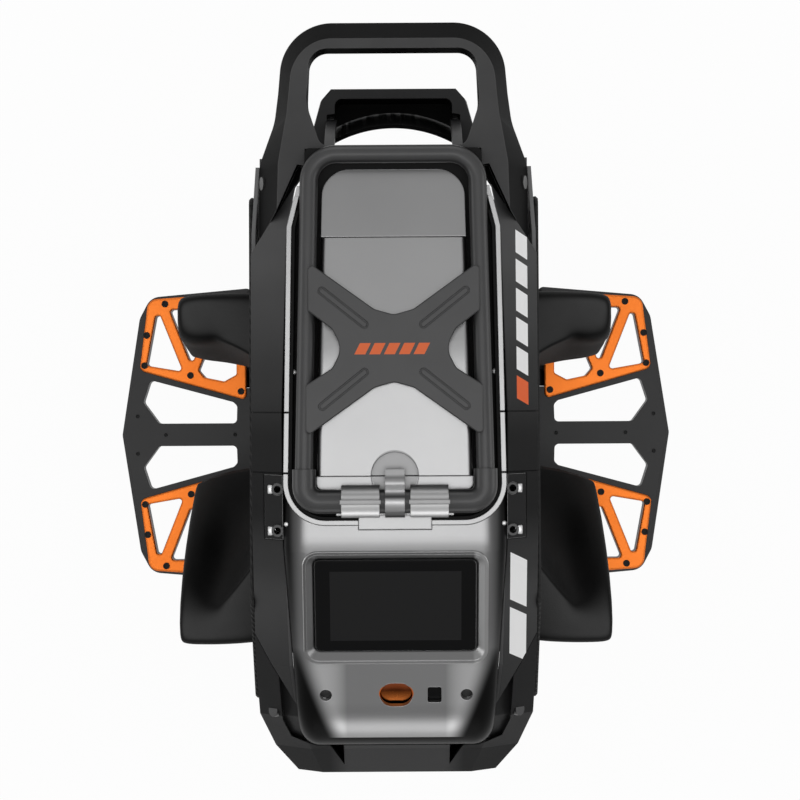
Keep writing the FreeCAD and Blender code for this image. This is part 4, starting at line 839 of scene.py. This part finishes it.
# Deck cover, rear lid and hinge base: pressed alloy under satin grey paint, screwed down from below.
# The finger recess under the latch is painted darker, as painted shade.
deck_paint = finish("deck_paint", (0.3, 0.3, 0.302), (0.32, 0.32, 0.322),
                    rough=0.32, grain=0.0003, depth=0.00002, edge=0.0008, metallic=1.0)
recess_y = -0.0224
recess_radius = 0.0168
tree = deck_paint.node_tree
place = object_place(tree)
from_recess = distance(tree, place["X"], maths(tree, "SUBTRACT", place["Y"], recess_y))
recolour(deck_paint, maths(tree, "LESS_THAN", from_recess, recess_radius), (0.19, 0.19, 0.191))
paint_nodes(deck_paint, "deck_cover", "deck_lid", "hinge_base")

# Trolley handle: a bent tube pushed into the elbows of a thicker hinge bar, with a pressed brace plate
# welded across it, all dark grey satin. The plate has a printed row of slanted bars.
# The tube's and the plate's dust also paints top light on what faces up.
tube_paint = finish("tube_paint", (0.006, 0.006, 0.0062), (0.009, 0.009, 0.0092), rough=0.32, grain=0.0004,
                    depth=0.00003, edge=0.0006, dust_and_top_light=(0.06, 0.06, 0.061), gloss=0.35)
brace_paint = finish("brace_paint", (0.01, 0.01, 0.0102), (0.014, 0.014, 0.0142), rough=0.36, grain=0.0004,
                     depth=0.00003, edge=0.0006, dust_and_top_light=(0.07, 0.07, 0.071), gloss=0.3)
tree = brace_paint.node_tree
place = object_place(tree)
brace_bars = stripes(tree, place["X"], place["Y"], first=-0.0282, last=0.0217, inner=0.0625, outer=0.0705,
                     pitch=0.0105, filled=0.74, slant=-0.5)
recolour(brace_paint, brace_bars, (0.72, 0.13, 0.03))
paint_nodes(tube_paint, "trolley_bar", "trolley_loop")
paint_nodes(brace_paint, "trolley_brace")

# Pedals: forged alloy frames, black anodised, that turn on the hinge pins, with orange anodised grip
# plates sunk into them. Black socket screws hold the plates, and small set screws stand in the frames.
# The grip plates' dark edge tone paints shade along their edges.
orange_anodised = finish("orange_anodised", (0.77, 0.18, 0.024), (0.86, 0.215, 0.033),
                         rough=0.38, grain=0.0004, depth=0.00002, edge=0.0022, metallic=0.9,
                         edge_wear_and_light=1.3, edge_wear_and_light_colour=(0.36, 0.07, 0.01))
screw_black = finish("screw_black", (0.006, 0.006, 0.006), (0.01, 0.01, 0.01),
                     rough=0.32, grain=0.0005, depth=0.00003, edge=0.0004, gloss=0.12)
paint_nodes(black_anodised, "pedal_left", "pedal_right")
paint_nodes(orange_anodised, "grip_plates_left", "grip_plates_right")
paint_nodes(screw_black, "pedal_screws_left", "pedal_screws_right")
pedal_top = 0.1901
pin_places = [(0.2305, 0.0167), (0.2305, -0.0167), (0.2054, 0.0), (0.1435, 0.0)]
for side, hand in ((1, "right"), (-1, "left")):
    pins = spread_copies(domed_screw(radius=0.0017, height=0.0004, sink=0.001),
                         [(side * x, y, pedal_top) for x, y in pin_places])
    settle(pins, "pedal_set_screws_" + hand, hand + "_pedal", screw_black)

# Pedal stop pads: small moulded rubber blocks that the pedals close on, stuck on the hangers beside
# the hinge ears.
stop_pads = spread_copies(rounded_block((0.0062, 0.0145, 0.0062), bevel=0.0008),
                          [(side * 0.1334, end * 0.0492, 0.1680) for side in both_sides for end in (-1, 1)])
settle(stop_pads, "pedal_stop_pads", "chassis", seal_rubber)

# Wiper seals under the fork tubes: moulded rubber rings pressed into the tube ends, with a scraping lip
# that stands clear of the yokes when the wheel is fully up.
lip_room = 0.0006
wiper_seals = copy_node("fork_seals")
seal_foot = min(corner.co.z for corner in wiper_seals.data.vertices)
pick_faces(wiper_seals, lambda n, c: n.z < -0.9 and c.z < seal_foot + 0.0001)
bpy.ops.transform.translate(value=(0.0, 0.0, lip_room))
settle(wiper_seals, "wiper_seals", "chassis", seal_rubber)
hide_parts("fork_seals")

# Mud flap: a curved rubber sheet behind the wheel, moulded with a web that closes the corners of the
# tail bracket and is screwed under its rear bar.
flap_rubber = finish("flap_rubber", (0.003, 0.003, 0.003), (0.006, 0.006, 0.006),
                     rough=0.6, grain=0.0008, depth=0.00005, edge=0.0005, gloss=0.06)
web_half = 0.048
web_rear = 0.2772
web_arc = 0.103
web_front = 0.2695
web_top = 0.346
flap = copy_node("mud_flap")
start_piece()
bpy.ops.mesh.primitive_grid_add(x_subdivisions=24, y_subdivisions=1, size=2.0)
web = bpy.context.object
for corner in web.data.vertices:
    x = corner.co.x * web_half
    arc = web_front - web_arc + math.sqrt(web_arc ** 2 - x ** 2)
    corner.co = Vector((x, web_rear if corner.co.y > 0 else arc, web_top))
apply_modifier(web, "SOLIDIFY", thickness=0.003, offset=-1.0)
take(flap)
web.select_set(True)
bpy.ops.object.join()
settle(flap, "mud_flap_rubber", "chassis", flap_rubber)
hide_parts("mud_flap")

# Lamps: a row of bright plated reflector cups with pale chips, pressed into the bumper as the headlight,
# and a fluted red lens snapped into the tail.
red_lens = finish("red_lens", (0.3, 0.008, 0.008), (0.42, 0.012, 0.012),
                  rough=0.12, grain=0.003, depth=0.0003, edge=0.0008)
reflector = finish("reflector", (0.75, 0.75, 0.76), (0.85, 0.85, 0.86),
                   rough=0.1, grain=0.002, depth=0.00001, edge=0.0004, metallic=1.0)
chip_paint = finish("chip_paint", (0.9, 0.88, 0.7), (0.95, 0.94, 0.8),
                    rough=0.3, grain=0.002, depth=0.00002, edge=0.0003)
press_ribs(red_lens, "X", scale=80.0, strength=1.0, depth=0.0006)
paint_nodes(red_lens, "tail_light")
lamp_half = (0.048, 0.015)
lamp_y = -0.2575
lamp_z = 0.443
lamp_front = lamp_y - 0.0035
lamp_thickness = 0.0065
lamp_cells = 4
chip_area = 0.0002
start_piece()
bpy.ops.mesh.primitive_grid_add(x_subdivisions=lamp_cells, y_subdivisions=1, size=2.0,
                                rotation=(math.radians(90), 0.0, 0.0))
lamp = bpy.context.object
bpy.ops.object.transform_apply(location=False, rotation=True, scale=False)
for corner in lamp.data.vertices:
    corner.co = Vector((corner.co.x * lamp_half[0], lamp_front, lamp_z + corner.co.z * lamp_half[1]))
apply_modifier(lamp, "SOLIDIFY", thickness=lamp_thickness, offset=-1.0)
pick_faces(lamp, lambda n, c: n.y < -0.9 and c.y < lamp_y)
bpy.ops.mesh.inset(thickness=0.0012, depth=0.0, use_individual=True)
bpy.ops.mesh.inset(thickness=0.0052, depth=-0.0052, use_individual=True)
bpy.ops.mesh.inset(thickness=0.0012, depth=0.0018, use_individual=True)
settle(lamp, "headlight_reflector", "chassis", reflector)
lamp.data.materials.append(chip_paint)
for face in lamp.data.polygons:
    if face.normal.y < -0.9 and face.center.y > lamp_y - 0.001 and face.area < chip_area:
        face.material_index = 1
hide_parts("headlight_lens")
